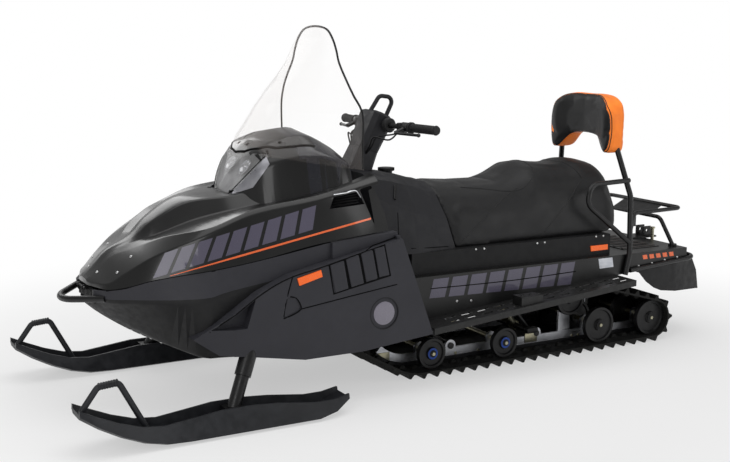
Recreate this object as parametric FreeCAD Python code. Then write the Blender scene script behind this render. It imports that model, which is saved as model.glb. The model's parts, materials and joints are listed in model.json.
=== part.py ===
import FreeCAD, Part
import math
import os

from FreeCAD import Vector

# Utility snowmobile with one wide track, two skis, a long two-up seat and a backrest.
# Millimetres. +X points to the nose, +Y to the rider's left, +Z up.
# The origin is on the ground, midway between the nose and the snow flap, on the centre line.

os.makedirs("parts", exist_ok=True)

# Fits between neighbouring pieces
RUNNING_GAP = 0.3
SEAM_GAP = 1.0

# Track belt
TRACK_WIDTH = 600.0
LUG_PITCH = 63.5
LUG_HEIGHT = 19.0
LUG_ROOT = 34.0
LUG_TIP = 8.0
BELT_THICKNESS = 8.0
LUG_BAND_SPLIT = 12.0
FRONT_RISE_X = 40.0

# Wheels of the skid
SMALL_WHEEL_RADIUS = 66.0
LARGE_WHEEL_RADIUS = 82.0
CARRIER_WHEEL_RADIUS = 78.0
WHEEL_WIDTH = 26.0
OUTER_WHEEL_Y = 259.0
INNER_WHEEL_Y = 92.0
SMALL_WHEEL_XS = (-25.0, -397.0)
LARGE_WHEEL_XS = (-923.0, -1228.0)
CARRIER_X = -797.0
CARRIER_Z = 235.0
CARRIER_WHEEL_Y = 204.0
WHEEL_AXLE_RADIUS = 11.0
HUB_RADIUS = 24.0
SPROCKET_RADIUS = 88.0
SPROCKET_X = 423.0
SPROCKET_Z = 310.0

# Slide rails
RAIL_Y = 165.0
RAIL_THICKNESS = 12.0
RAIL_HEIGHT = 34.0
SLIDER_WIDTH = 26.0
RAIL_TIP_Z = 100.0
SKID_BAR_RADIUS = 14.0

# Tunnel and running boards
TUNNEL_SIDE_CLEARANCE = 22.0
TUNNEL_HALF_WIDTH = TRACK_WIDTH / 2 + TUNNEL_SIDE_CLEARANCE
TUNNEL_WALL = 4.0
TUNNEL_TOP_Z = 437.0
TUNNEL_REAR_X = -1386.0
TUNNEL_FRONT_X = 556.0
TUNNEL_NOSE_LIFT = 4.0
DECK_PAD_FRONT_X = -1075.0
DECK_PAD_REAR_X = -1290.0
DECK_PAD_HALF_WIDTH = 240.0
DECK_PAD_HEIGHT = 3.0
BOARD_WIDE_X = 84.0
BOARD_FRONT_X = 300.0
BOARD_REAR_X = -963.0
BOARD_FRONT_Z = 233.0
BOARD_SLOPE = 0.088
BOARD_OUTER_Y = 455.0
BOARD_SHEET = 4.0
BOARD_LIP = 26.0
BOARD_SLOTS = 12

# Skis and struts
SKI_CENTRE_Y = 480.0
SKI_BOLT_X = 960.0
SKI_BOLT_Z = 61.0
SKI_BOLT_RADIUS = 8.0
SKI_WALL_Y = 52.0
SKI_FLOOR = 18.0
SKI_LOOP_RADIUS = 11.0
STRUT_CASTER = 25.6
STRUT_LEAN = 17.3
STRUT_SLEEVE_RADIUS = 31.0
STRUT_LEG_RADIUS = 25.0
SLEEVE_BOTTOM = 134.0
SLEEVE_LENGTH = 250.0

# Steering column
COLUMN_X = 192.0
COLUMN_Z = 871.0
COLUMN_LEAN = 25.0
POST_RADIUS = 15.0
COVER_BASE = -60.0
COVER_SPLIT = 70.0
COVER_TOP = 232.0
COVER_HALF_DEPTH = 46.0
COVER_HALF_WIDTH = 60.0
PAD_HALF_DEPTH = 50.0
PAD_HALF_WIDTH = 76.0
BAR_HEIGHT = 193.0
BAR_SETBACK = 22.0
BAR_HALF_WIDTH = 380.0
BAR_SWEEP = 42.0
BAR_RISE = 18.0
BAR_RADIUS = 11.0
GRIP_LENGTH = 150.0
GRIP_RADIUS = 17.0
STRAP_HEIGHT = 315.0
STRAP_RADIUS = 9.0

# Seat, tank and backrest
SEAT_BASE_HALF_WIDTH = 286.0
SEAT_BASE_FRONT_X = 92.0
SEAT_BASE_REAR_X = -950.0
SEAT_BASE_TOP_Z = 530.0
SEAT_REAR_X = -1060.0
CAP_X = 51.0
CAP_RADIUS = 34.0
PAD_FRONT_X = -970.0
PAD_REAR_X = -1097.0
PAD_BOTTOM_Z = 878.0
PAD_TOP_Z = 1147.0
PAD_HALF_SPAN = 223.0
FRAME_TUBE_RADIUS = 12.5
HANDLE_TUBE_RADIUS = 11.0
RACK_TUBE_RADIUS = 9.5

# Bodywork
WALL = 5.0
HOOD_REAR_X = 262.0
HOOD_HINGE_X = 1366.0
HOOD_HINGE_Z = 476.0
PAN_REAR_X = 520.0
PANEL_INNER_Y = 400.0
PANEL_OUTER_Y = 448.0
BUMPER_TUBE_RADIUS = 10.0
BOW_TUBE_RADIUS = 12.5
SCREEN_THICKNESS = 4.0

# Slide rails, skid arms and dampers
RAIL_CURVE_RADIUS = 230.0
RAIL_CURVE_STEPS = 6
SLIDER_HEIGHT = 14.0
EYE_RADIUS = 26.0
CARRIER_ARM = 34.0
SKID_BAR_XS = (-180.0, -640.0)
FRONT_ARM_TOP = (62.0, 262.0)
FRONT_ARM_HALF_WIDTHS = (110.0, 130.0)
REAR_ARM_TOP = (-430.0, 318.0)
REAR_ARM_HALF_WIDTHS = (120.0, 150.0)
AXLE_OVERHANG = 5.0
DAMPER_RADIUS = 20.0
DAMPER_ROD_RADIUS = 8.0
DAMPER_EYE_WALL = 7.0
DAMPER_EYE_WIDTH = 30.0
SPRING_SEAT_RADIUS = 32.0
SPRING_INNER_RADIUS = 23.0
SPRING_COILS = 8
SPRING_WIRE_RADIUS = 5.0
SPROCKET_SHAFT_RADIUS = 16.0
SPROCKET_WIDTH = 30.0
SPROCKET_ROW_SPACING = 200.0

# Running board details
FOOT_BLOCK_X = -405.0
FOOT_BLOCK_HALF_LENGTH = 55.0
FOOT_BLOCK_HEIGHT = 38.0
FOOT_BLOCK_OUTER_GAP = 12.0
FOOT_BLOCK_INNER_GAP = 75.0
BOARD_SLOT_WIDTH = 16.0
BOARD_SLOT_ROWS = (36.0, 84.0)
BOARD_SLOT_SHARE = 0.55

# Body shells, subframe and grille
SHELL_RUN_OUT = 60.0
GRILLE_HALF_WIDTH = 104.0
GRILLE_LOW_Z = 424.0
GRILLE_TOP_Z = 476.0
GRILLE_X = 1337.0
GRILLE_BARS = 12
GRILLE_BAR_WIDTH = 6.0
SUBFRAME_Y = 190.0
SUBFRAME_WIDTH = 40.0
SUBFRAME_FLOOR_Z = 232.0
SUBFRAME_TOWER_Z = 350.0
SUBFRAME_FRONT_X = 990.0
ENGINE_FRONT_X = 930.0
ENGINE_HALF_WIDTH = 170.0
ENGINE_LOW_Z = 246.0
ENGINE_TOP_Z = 560.0
BUMPER_ENTRY = (1322.0, 166.0, 452.0)
BUMPER_CORNER = (1478.0, 0.0, 433.0)
BUMPER_BEND = 98.0

# Side panel details
RECESS_FLOOR_Y = 406.0
SHALLOW_DEPTH = 3.5
DISC_X = 311.0
DISC_Z = 344.0
DISC_RADIUS = 63.0
PANEL_NOSE_X = 880.0
PANEL_TAPER_X = 930.0
PANEL_TIP_X = 1080.0
PANEL_TIP_Y = 385.0
PANEL_NOSE_INNER_Y = 300.0
LOUVRE_LIFT = 5.0
LOUVRE_GAP = 8.0

# Hood, lamp pod and hood hinge
POD_FOOT_Z = 741.0
LENS_FOOT = (800.0, 784.0)
LENS_HEAD = (672.0, 952.0)
LENS_WALL = 4.0
BOWL_RADIUS = 46.0
BOWL_Y = 72.0
HINGE_PIN_RADIUS = 4.0
KNUCKLE_RADIUS = 8.0
KNUCKLE_INNER_Y = 37.0
KNUCKLE_OUTER_Y = 54.0

# Joint between tank cover and seat, fuel cap, levers
JOINT_TOP = (-52.0, 900.0)
JOINT_FOOT = (-140.0, SEAT_BASE_TOP_Z - 10.0)
CAP_BASE_Z = 838.0
CAP_HEIGHT = 13.0
LEVER_REACH = 40.0
LEVER_DROP = 42.0
LEVER_BLADES = (150.0, 70.0)
BAR_CENTRE_HALF = 112.0

# Rear frame, rack, flap and hitch
UPRIGHT_BEND = 60.0
CROSS_TUBE_X = -1046.0
CROSS_TUBE_Z = 990.0
CROSS_TUBE_HALF = 187.0
RACK_Z = 612.0
RACK_REAR_X = -1406.0
RACK_BEND = 34.0
LAMP_PANEL_HALF_WIDTH = 130.0
HOOP_FOOT_RADIUS = 20.0
REAR_BUMPER_X = -1440.0
REAR_BUMPER_Z = 392.0
REAR_BUMPER_FOOT = (-1034.0, 362.0)
REAR_BUMPER_BEND = 60.0
FLAP_WALL = 5.0
FLAP_BEND_X = -1330.0
FLAP_TIP_X = -1540.0
FLAP_TIP_HALF_WIDTH = 252.0
HITCH_PIN_RADIUS = 8.0
HITCH_Z = 470.0
HITCH_X = -1410.0
HITCH_PLATE_X = (-1455.0, -1300.0)
HITCH_PLATE_HALF_WIDTH = 45.0
HITCH_PLATE_HEIGHT = 8.0
HITCH_EAR_Y = (18.0, 28.0)

# Places that follow from the sizes above
BELT_INSIDE_Z = LUG_HEIGHT + BELT_THICKNESS
SMALL_WHEEL_Z = BELT_INSIDE_Z + RUNNING_GAP + SMALL_WHEEL_RADIUS
LARGE_WHEEL_Z = BELT_INSIDE_Z + RUNNING_GAP + LARGE_WHEEL_RADIUS
RAIL_BOTTOM_Z = BELT_INSIDE_Z + SLIDER_HEIGHT
RAIL_TIP_TURN = math.acos((BELT_INSIDE_Z + RAIL_CURVE_RADIUS - RAIL_TIP_Z)
                          / (RAIL_CURVE_RADIUS - SLIDER_HEIGHT))
RAIL_REAR_X = LARGE_WHEEL_XS[1] - 24.0
SLIDER_REAR_X = LARGE_WHEEL_XS[1] + 10.0
SKID_BAR_Z = RAIL_BOTTOM_Z + RAIL_HEIGHT + 8.0
AXLE_END_Y = OUTER_WHEEL_Y + WHEEL_WIDTH / 2 + AXLE_OVERHANG
CARRIER_AXLE_END = CARRIER_WHEEL_Y + WHEEL_WIDTH / 2 + AXLE_OVERHANG
SLEEVE_TOP = SLEEVE_BOTTOM + SLEEVE_LENGTH
COLUMN_AXIS = Vector(-math.sin(math.radians(COLUMN_LEAN)), 0, math.cos(math.radians(COLUMN_LEAN)))
COLUMN_FORWARD = Vector(math.cos(math.radians(COLUMN_LEAN)), 0, math.sin(math.radians(COLUMN_LEAN)))
FRAME_FOOT_Y = TUNNEL_HALF_WIDTH + FRAME_TUBE_RADIUS + RUNNING_GAP
REAR_BUMPER_Y = TUNNEL_HALF_WIDTH + BUMPER_TUBE_RADIUS + RUNNING_GAP
FLAP_HALF_WIDTH = TUNNEL_HALF_WIDTH - TUNNEL_WALL - RUNNING_GAP
HITCH_PLATE_TOP = TUNNEL_TOP_Z + HITCH_PLATE_HEIGHT


def write(name, shape):
    """Write one node."""
    shape.exportStep("parts/" + name + ".step")
    print(name, "solids", len(shape.Solids), "volume", round(shape.Volume / 1e3, 1), "valid", shape.isValid())


def box(x0, x1, y0, y1, z0, z1):
    """Box between two corners."""
    return Part.makeBox(x1 - x0, y1 - y0, z1 - z0, Vector(x0, y0, z0))


def prism_xz(points, y0, y1):
    """Side outline carried from y0 to y1."""
    corners = [Vector(x, y0, z) for x, z in points]
    face = Part.Face(Part.makePolygon(corners + corners[:1]))
    return face.extrude(Vector(0, y1 - y0, 0))


def prism_xy(points, z0, z1):
    """Plan outline carried from z0 to z1."""
    corners = [Vector(x, y, z0) for x, y in points]
    face = Part.Face(Part.makePolygon(corners + corners[:1]))
    return face.extrude(Vector(0, 0, z1 - z0))


def cylinder_y(radius, x, z, y0, y1):
    """Round bar along Y."""
    return Part.makeCylinder(radius, y1 - y0, Vector(x, y0, z), Vector(0, 1, 0))


def cylinder_between(radius, start, end):
    """Round bar between two points."""
    return Part.makeCylinder(radius, (end - start).Length, start, end - start)


def mirrored(shape):
    """The same piece on the other side of the centre line."""
    return shape.mirror(Vector(0, 0, 0), Vector(0, 1, 0))


def fused(shapes):
    """One shape out of pieces that meet."""
    result = shapes[0].multiFuse(shapes[1:])
    return result.removeSplitter()


def largest(shape):
    """The biggest solid of a cut shape, without the offcuts."""
    return sorted(shape.Solids, key=lambda solid: solid.Volume)[-1]


def pair(shape):
    """A piece and its mirror image, in one node."""
    return Part.makeCompound(shape.Solids + mirrored(shape).Solids)


def tube(points, radius, bend):
    """Bent round tube: straight runs joined by arcs tangent to both."""
    corners = [Vector(*p) for p in points]
    edges = []
    start = corners[0]
    for before, corner, after in zip(corners, corners[1:], corners[2:]):
        to_before = (before - corner).normalize()
        to_after = (after - corner).normalize()
        half_turn = (math.pi - to_before.getAngle(to_after)) / 2
        setback = bend * math.tan(half_turn)
        first = corner + to_before * setback
        last = corner + to_after * setback
        middle_way = (to_before + to_after).normalize()
        middle = corner + middle_way * (bend / math.cos(half_turn) - bend)
        edges.append(Part.LineSegment(start, first).toShape())
        edges.append(Part.Arc(first, middle, last).toShape())
        start = last
    edges.append(Part.LineSegment(start, corners[-1]).toShape())
    path = Part.Wire(edges)
    direction = corners[1] - corners[0]
    profile = Part.Wire([Part.makeCircle(radius, corners[0], direction)])
    return Part.Wire(path).makePipeShell([profile], True, True)


def half_section(points, x):
    """Closed section across the body from its half outline, top or bottom centre first."""
    left = [Vector(x, y, z) for y, z in points if y > 0]
    right = [Vector(x, -y, z) for y, z in reversed(points) if y > 0]
    centre = [Vector(x, 0, points[0][1])]
    corners = centre + left + right
    return Part.makePolygon(corners + corners[:1])


def skin(stations, ruled=True):
    """Solid through sections across the body. Each station is x and a half outline."""
    wires = [half_section(points, x) for x, points in stations]
    return Part.makeLoft(wires, True, ruled)


def inset(points, wall):
    """Half outline moved inwards by the wall, its centre point kept on the centre line."""
    moved = []
    for index, (y, z) in enumerate(points):
        before = points[index - 1] if index > 0 else (-points[1][0], points[1][1])
        after = points[index + 1] if index + 1 < len(points) else (2 * y - points[index - 1][0],
                                                                    2 * z - points[index - 1][1])
        normals = []
        for (y0, z0), (y1, z1) in ((before, (y, z)), ((y, z), after)):
            length = math.hypot(y1 - y0, z1 - z0)
            normals.append(((z1 - z0) / length, -(y1 - y0) / length))
        ny = normals[0][0] + normals[1][0]
        nz = normals[0][1] + normals[1][1]
        scale = 2 * wall / (ny * ny + nz * nz)
        moved.append((max(y + ny * scale, 0.0) if index else 0.0, z + nz * scale))
    return moved


# Track loop: inner line of the belt as arcs round wheels joined by straight runs

def outer_tangent(first, second):
    """Tangent points of the belt on two circles, both inside the loop, which runs clockwise seen from +Y."""
    (x0, z0, r0), (x1, z1, r1) = first, second
    dx = x1 - x0
    dz = z1 - z0
    span = math.hypot(dx, dz)
    base = math.atan2(dz, dx)
    swing = math.acos((r0 - r1) / span)
    angle = base + swing
    return ((x0 + r0 * math.cos(angle), z0 + r0 * math.sin(angle)),
            (x1 + r1 * math.cos(angle), z1 + r1 * math.sin(angle)))


BELT_GUIDES = [
    (LARGE_WHEEL_XS[1], LARGE_WHEEL_Z, LARGE_WHEEL_RADIUS + RUNNING_GAP),
    (CARRIER_X, CARRIER_Z, CARRIER_WHEEL_RADIUS + RUNNING_GAP),
    (SPROCKET_X, SPROCKET_Z, SPROCKET_RADIUS + RUNNING_GAP),
    (FRONT_RISE_X, BELT_INSIDE_Z + RAIL_CURVE_RADIUS, RAIL_CURVE_RADIUS),
]


def belt_loop(offset):
    """Edges and a list of straight and round pieces of the loop, grown outwards by an offset."""
    guides = [(x, z, r + offset) for x, z, r in BELT_GUIDES]
    pairs = list(zip(guides, guides[1:] + guides[:1]))
    runs = [outer_tangent(a, b) for a, b in pairs]
    pieces = []
    for index, (start, end) in enumerate(runs):
        pieces.append(("line", start, end, None))
        guide = guides[(index + 1) % len(guides)]
        pieces.append(("arc", end, runs[(index + 1) % len(runs)][0], guide))
    return pieces


def clockwise_turn(start, end, guide):
    """Angle swept clockwise round a guide, and the angle it starts from."""
    x, z, _ = guide
    a0 = math.atan2(start[1] - z, start[0] - x)
    a1 = math.atan2(end[1] - z, end[0] - x)
    turn = (a0 - a1) % (2 * math.pi)
    return turn, a0


def loop_wire(pieces, y):
    """Wire of the loop at one side."""
    edges = []
    for kind, start, end, guide in pieces:
        a = Vector(start[0], y, start[1])
        b = Vector(end[0], y, end[1])
        if kind == "line":
            edges.append(Part.LineSegment(a, b).toShape())
        else:
            turn, a0 = clockwise_turn(start, end, guide)
            middle = a0 - turn / 2
            m = Vector(guide[0] + guide[2] * math.cos(middle), y, guide[1] + guide[2] * math.sin(middle))
            edges.append(Part.Arc(a, m, b).toShape())
    return Part.Wire(edges)


def loop_length(pieces):
    """Length along the loop."""
    total = 0.0
    for kind, start, end, guide in pieces:
        if kind == "line":
            total += math.hypot(end[0] - start[0], end[1] - start[1])
        else:
            total += clockwise_turn(start, end, guide)[0] * guide[2]
    return total


def loop_point(pieces, distance):
    """Point and outward direction at a distance along the loop."""
    for kind, start, end, guide in pieces:
        if kind == "line":
            length = math.hypot(end[0] - start[0], end[1] - start[1])
            if distance <= length:
                ux = (end[0] - start[0]) / length
                uz = (end[1] - start[1]) / length
                return (start[0] + ux * distance, start[1] + uz * distance), (-uz, ux), (ux, uz)
        else:
            turn, a0 = clockwise_turn(start, end, guide)
            length = turn * guide[2]
            if distance <= length:
                angle = a0 - distance / guide[2]
                out = (math.cos(angle), math.sin(angle))
                return (guide[0] + guide[2] * out[0], guide[1] + guide[2] * out[1]), out, (out[1], -out[0])
        distance -= length
    return loop_point(pieces, 0.0)


def track_belt():
    """Lugged belt: a plain loop with bars across it, split by two grooves into three bands of lugs."""
    inner = belt_loop(0.0)
    outer = belt_loop(BELT_THICKNESS)
    middle = belt_loop(BELT_THICKNESS / 2)
    half = TRACK_WIDTH / 2
    across = Vector(0, TRACK_WIDTH, 0)
    carcass = Part.Face(loop_wire(outer, -half)).extrude(across)
    carcass = carcass.cut(Part.Face(loop_wire(inner, -half)).extrude(across))
    length = loop_length(middle)
    count = round(length / LUG_PITCH)
    print("lugs around the belt", count, "pitch", round(length / count, 2))
    bars = []
    for number in range(count):
        centre, out, along = loop_point(middle, (number + 0.25) * length / count)
        tip = BELT_THICKNESS / 2 + LUG_HEIGHT
        corners = []
        for spread, reach in ((-LUG_ROOT / 2, 0.0), (-LUG_TIP / 2, tip), (LUG_TIP / 2, tip),
                              (LUG_ROOT / 2, 0.0)):
            corners.append(Vector(centre[0] + along[0] * spread + out[0] * reach, -half,
                                  centre[1] + along[1] * spread + out[1] * reach))
        bars.append(Part.Face(Part.makePolygon(corners + corners[:1])).extrude(across))
    belt = carcass.multiFuse(bars)
    beyond = belt_loop(BELT_THICKNESS + LUG_HEIGHT * 2)
    for side in (-1, 1):
        start = side * TRACK_WIDTH / 6 - LUG_BAND_SPLIT / 2
        groove = Part.Face(loop_wire(beyond, start)).extrude(Vector(0, LUG_BAND_SPLIT, 0))
        groove = groove.cut(Part.Face(loop_wire(outer, start)).extrude(Vector(0, LUG_BAND_SPLIT, 0)))
        belt = belt.cut(groove)
    return belt.removeSplitter()


def wheel(radius, x, z, y, width, bore):
    """Rubber-tyred bogie wheel: rim, dished web and hub, turned about its axle."""
    web = width * 0.22
    outline = [(bore, -width / 2), (HUB_RADIUS, -width / 2), (HUB_RADIUS + 4, -web), (radius - 16, -web),
               (radius - 12, -width / 2), (radius - 2, -width / 2), (radius, -width / 2 + 3),
               (radius, width / 2 - 3), (radius - 2, width / 2), (radius - 12, width / 2),
               (radius - 16, web), (HUB_RADIUS + 4, web), (HUB_RADIUS, width / 2), (bore, width / 2)]
    corners = [Vector(x + r, y + w, z) for r, w in outline]
    face = Part.Face(Part.makePolygon(corners + corners[:1]))
    return face.revolve(Vector(x, y, z), Vector(0, 1, 0), 360)


def wheel_set(places, radius, rows):
    """All wheels of one size."""
    wheels = []
    for x, z in places:
        for row in rows:
            for side in (-1, 1):
                wheels += wheel(radius, x, z, side * row, WHEEL_WIDTH, WHEEL_AXLE_RADIUS).Solids
    return Part.makeCompound(wheels)


SMALL_PLACES = [(x, SMALL_WHEEL_Z) for x in SMALL_WHEEL_XS]
LARGE_PLACES = [(x, LARGE_WHEEL_Z) for x in LARGE_WHEEL_XS]
write("track_belt", track_belt())
write("small_wheels", wheel_set(SMALL_PLACES, SMALL_WHEEL_RADIUS, (OUTER_WHEEL_Y,)))
write("large_wheels", Part.makeCompound(
    wheel_set(LARGE_PLACES, LARGE_WHEEL_RADIUS, (OUTER_WHEEL_Y, INNER_WHEEL_Y)).Solids
    + wheel_set([(CARRIER_X, CARRIER_Z)], CARRIER_WHEEL_RADIUS, (CARRIER_WHEEL_Y,)).Solids))

# Drive sprockets inside the tunnel, on their shaft
sprockets = [cylinder_y(SPROCKET_SHAFT_RADIUS, SPROCKET_X, SPROCKET_Z, -TUNNEL_HALF_WIDTH + TUNNEL_WALL,
                        TUNNEL_HALF_WIDTH - TUNNEL_WALL)]
for row in (-SPROCKET_ROW_SPACING, 0.0, SPROCKET_ROW_SPACING):
    sprockets.append(cylinder_y(SPROCKET_RADIUS, SPROCKET_X, SPROCKET_Z, row - SPROCKET_WIDTH / 2,
                                row + SPROCKET_WIDTH / 2))
write("drive_sprockets", fused(sprockets))


# Slide rails and their sliders


def rail_outline(low, height, rear):
    """Side outline of a rail: flat along the ground run, then curved up to its tip."""
    points = []
    centre_z = BELT_INSIDE_Z + RAIL_CURVE_RADIUS
    for radius, numbers in ((RAIL_CURVE_RADIUS - low, range(RAIL_CURVE_STEPS + 1)),
                            (RAIL_CURVE_RADIUS - low - height, range(RAIL_CURVE_STEPS, -1, -1))):
        for number in numbers:
            angle = RAIL_TIP_TURN * number / RAIL_CURVE_STEPS
            points.append((FRONT_RISE_X + radius * math.sin(angle), centre_z - radius * math.cos(angle)))
    return [(rear, points[0][1])] + points + [(rear, points[-1][1])]


slider = prism_xz(rail_outline(RUNNING_GAP, SLIDER_HEIGHT - RUNNING_GAP, SLIDER_REAR_X),
                  RAIL_Y - SLIDER_WIDTH / 2, RAIL_Y + SLIDER_WIDTH / 2)
rail = prism_xz(rail_outline(SLIDER_HEIGHT, RAIL_HEIGHT, RAIL_REAR_X),
                RAIL_Y - RAIL_THICKNESS / 2, RAIL_Y + RAIL_THICKNESS / 2)
AXLE_PLACES = SMALL_PLACES + LARGE_PLACES
SKID_BAR_PLACES = [(x, SKID_BAR_Z) for x in SKID_BAR_XS]
rail_pieces = [rail]
for x, z in AXLE_PLACES + SKID_BAR_PLACES:
    rail_pieces.append(cylinder_y(EYE_RADIUS, x, z, RAIL_Y - RAIL_THICKNESS / 2, RAIL_Y + RAIL_THICKNESS / 2))
    rail_pieces.append(box(x - EYE_RADIUS, x + EYE_RADIUS, RAIL_Y - RAIL_THICKNESS / 2,
                           RAIL_Y + RAIL_THICKNESS / 2, RAIL_BOTTOM_Z, z))
rail = fused(rail_pieces)
for x, z in AXLE_PLACES:
    rail = rail.cut(cylinder_y(WHEEL_AXLE_RADIUS, x, z, 0, TRACK_WIDTH))
for x, z in SKID_BAR_PLACES:
    rail = rail.cut(cylinder_y(SKID_BAR_RADIUS, x, z, 0, TRACK_WIDTH))
carrier_bracket = prism_xz([(CARRIER_X - EYE_RADIUS, CARRIER_Z + EYE_RADIUS),
                            (CARRIER_X + EYE_RADIUS, CARRIER_Z + EYE_RADIUS),
                            (CARRIER_X + CARRIER_ARM, RAIL_BOTTOM_Z + RAIL_HEIGHT),
                            (CARRIER_X - CARRIER_ARM, RAIL_BOTTOM_Z + RAIL_HEIGHT)],
                           RAIL_Y - RAIL_THICKNESS / 2, RAIL_Y + RAIL_THICKNESS / 2)
carrier_bracket = carrier_bracket.cut(cylinder_y(WHEEL_AXLE_RADIUS, CARRIER_X, CARRIER_Z, 0, TRACK_WIDTH))
rail = fused([rail, carrier_bracket])
write("slide_rails", pair(rail))
write("rail_sliders", pair(slider))

axles = [cylinder_y(WHEEL_AXLE_RADIUS, x, z, -AXLE_END_Y, AXLE_END_Y) for x, z in AXLE_PLACES]
axles.append(cylinder_y(WHEEL_AXLE_RADIUS, CARRIER_X, CARRIER_Z, -CARRIER_AXLE_END, CARRIER_AXLE_END))
write("wheel_axles", Part.makeCompound(axles))


# Suspension arms between the rails and the tunnel
def swing_arm(low, high, half_low, half_high):
    """Welded frame: a bar on the rails, a shaft across the tunnel and two legs between them."""
    side = TUNNEL_HALF_WIDTH - TUNNEL_WALL
    lower = cylinder_y(SKID_BAR_RADIUS, low[0], low[1], -RAIL_Y - RAIL_THICKNESS, RAIL_Y + RAIL_THICKNESS)
    upper = cylinder_y(SKID_BAR_RADIUS, high[0], high[1], -side, side)
    legs = []
    for sign in (-1, 1):
        legs.append(cylinder_between(SKID_BAR_RADIUS - 2.0, Vector(low[0], sign * half_low, low[1]),
                                     Vector(high[0], sign * half_high, high[1])))
    return fused([lower, upper] + legs)


write("front_arm", swing_arm(SKID_BAR_PLACES[0], FRONT_ARM_TOP, *FRONT_ARM_HALF_WIDTHS))
write("rear_arm", swing_arm(SKID_BAR_PLACES[1], REAR_ARM_TOP, *REAR_ARM_HALF_WIDTHS))


# Dampers: one at the front, two at the rear


def damper(low, high):
    """Coil-over damper with an eye round each bar: body, rod, spring seats and coils set as rings."""
    start = Vector(low[0], 0, low[1])
    end = Vector(high[0], 0, high[1])
    axis = end - start
    length = axis.Length
    axis.normalize()
    pieces = [cylinder_between(DAMPER_RADIUS, start + axis * SKID_BAR_RADIUS, start + axis * (length * 0.55)),
              cylinder_between(DAMPER_ROD_RADIUS, start + axis * (length * 0.5), end)]
    for share in (0.2, 0.86):
        pieces.append(cylinder_between(SPRING_SEAT_RADIUS, start + axis * (length * share - 6.0),
                                       start + axis * (length * share + 6.0)))
    low_end = length * 0.2
    pitch = length * 0.66 / SPRING_COILS
    coil_radius = SPRING_INNER_RADIUS + SPRING_WIRE_RADIUS * 2
    profile = [(0.0, low_end), (SPRING_INNER_RADIUS, low_end)]
    for number in range(SPRING_COILS):
        foot = low_end + pitch * number
        profile += [(SPRING_INNER_RADIUS, foot + pitch * 0.2), (coil_radius, foot + pitch * 0.4),
                    (coil_radius, foot + pitch * 0.6), (SPRING_INNER_RADIUS, foot + pitch * 0.8)]
    high_end = low_end + pitch * SPRING_COILS
    profile += [(SPRING_INNER_RADIUS, high_end), (0.0, high_end)]
    across = Vector(axis.z, 0, -axis.x)
    corners = [start + across * r + axis * t for r, t in profile]
    pieces.append(Part.Face(Part.makePolygon(corners + corners[:1])).revolve(start, axis, 360))
    for x, z in (low, high):
        pieces.append(cylinder_y(SKID_BAR_RADIUS + DAMPER_EYE_WALL, x, z, -DAMPER_EYE_WIDTH / 2,
                                 DAMPER_EYE_WIDTH / 2))
    whole = fused(pieces)
    for x, z in (low, high):
        whole = whole.cut(cylinder_y(SKID_BAR_RADIUS + RUNNING_GAP, x, z, -DAMPER_EYE_WIDTH * 2,
                                     DAMPER_EYE_WIDTH * 2))
    return whole


write("dampers", Part.makeCompound(damper(SKID_BAR_PLACES[0], FRONT_ARM_TOP).Solids
                                   + damper(SKID_BAR_PLACES[1], REAR_ARM_TOP).Solids))


# Tunnel: folded sheet over the track, open below and behind
def board_z(x):
    """Height of the running board's sheet."""
    return BOARD_FRONT_Z + (BOARD_FRONT_X - x) * BOARD_SLOPE


def tunnel():
    """Side walls and roof, with a bulkhead at the front."""
    nose_z = board_z(TUNNEL_FRONT_X) + TUNNEL_NOSE_LIFT
    side = [(TUNNEL_REAR_X, board_z(TUNNEL_REAR_X)), (BOARD_FRONT_X, board_z(BOARD_FRONT_X)),
            (TUNNEL_FRONT_X, nose_z),
            (TUNNEL_FRONT_X, TUNNEL_TOP_Z), (TUNNEL_REAR_X, TUNNEL_TOP_Z)]
    walls = []
    for sign in (-1, 1):
        inner = sign * (TUNNEL_HALF_WIDTH - TUNNEL_WALL)
        outer = sign * TUNNEL_HALF_WIDTH
        walls.append(prism_xz(side, min(inner, outer), max(inner, outer)))
    roof = box(TUNNEL_REAR_X, TUNNEL_FRONT_X, -TUNNEL_HALF_WIDTH, TUNNEL_HALF_WIDTH,
               TUNNEL_TOP_Z - TUNNEL_WALL, TUNNEL_TOP_Z)
    bulkhead = box(TUNNEL_FRONT_X - TUNNEL_WALL, TUNNEL_FRONT_X, -TUNNEL_HALF_WIDTH, TUNNEL_HALF_WIDTH,
                   nose_z, TUNNEL_TOP_Z)
    deck_pad = box(DECK_PAD_REAR_X, DECK_PAD_FRONT_X, -DECK_PAD_HALF_WIDTH, DECK_PAD_HALF_WIDTH, TUNNEL_TOP_Z,
                   TUNNEL_TOP_Z + DECK_PAD_HEIGHT)
    return fused(walls + [roof, bulkhead, deck_pad])


write("tunnel", tunnel())


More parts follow.
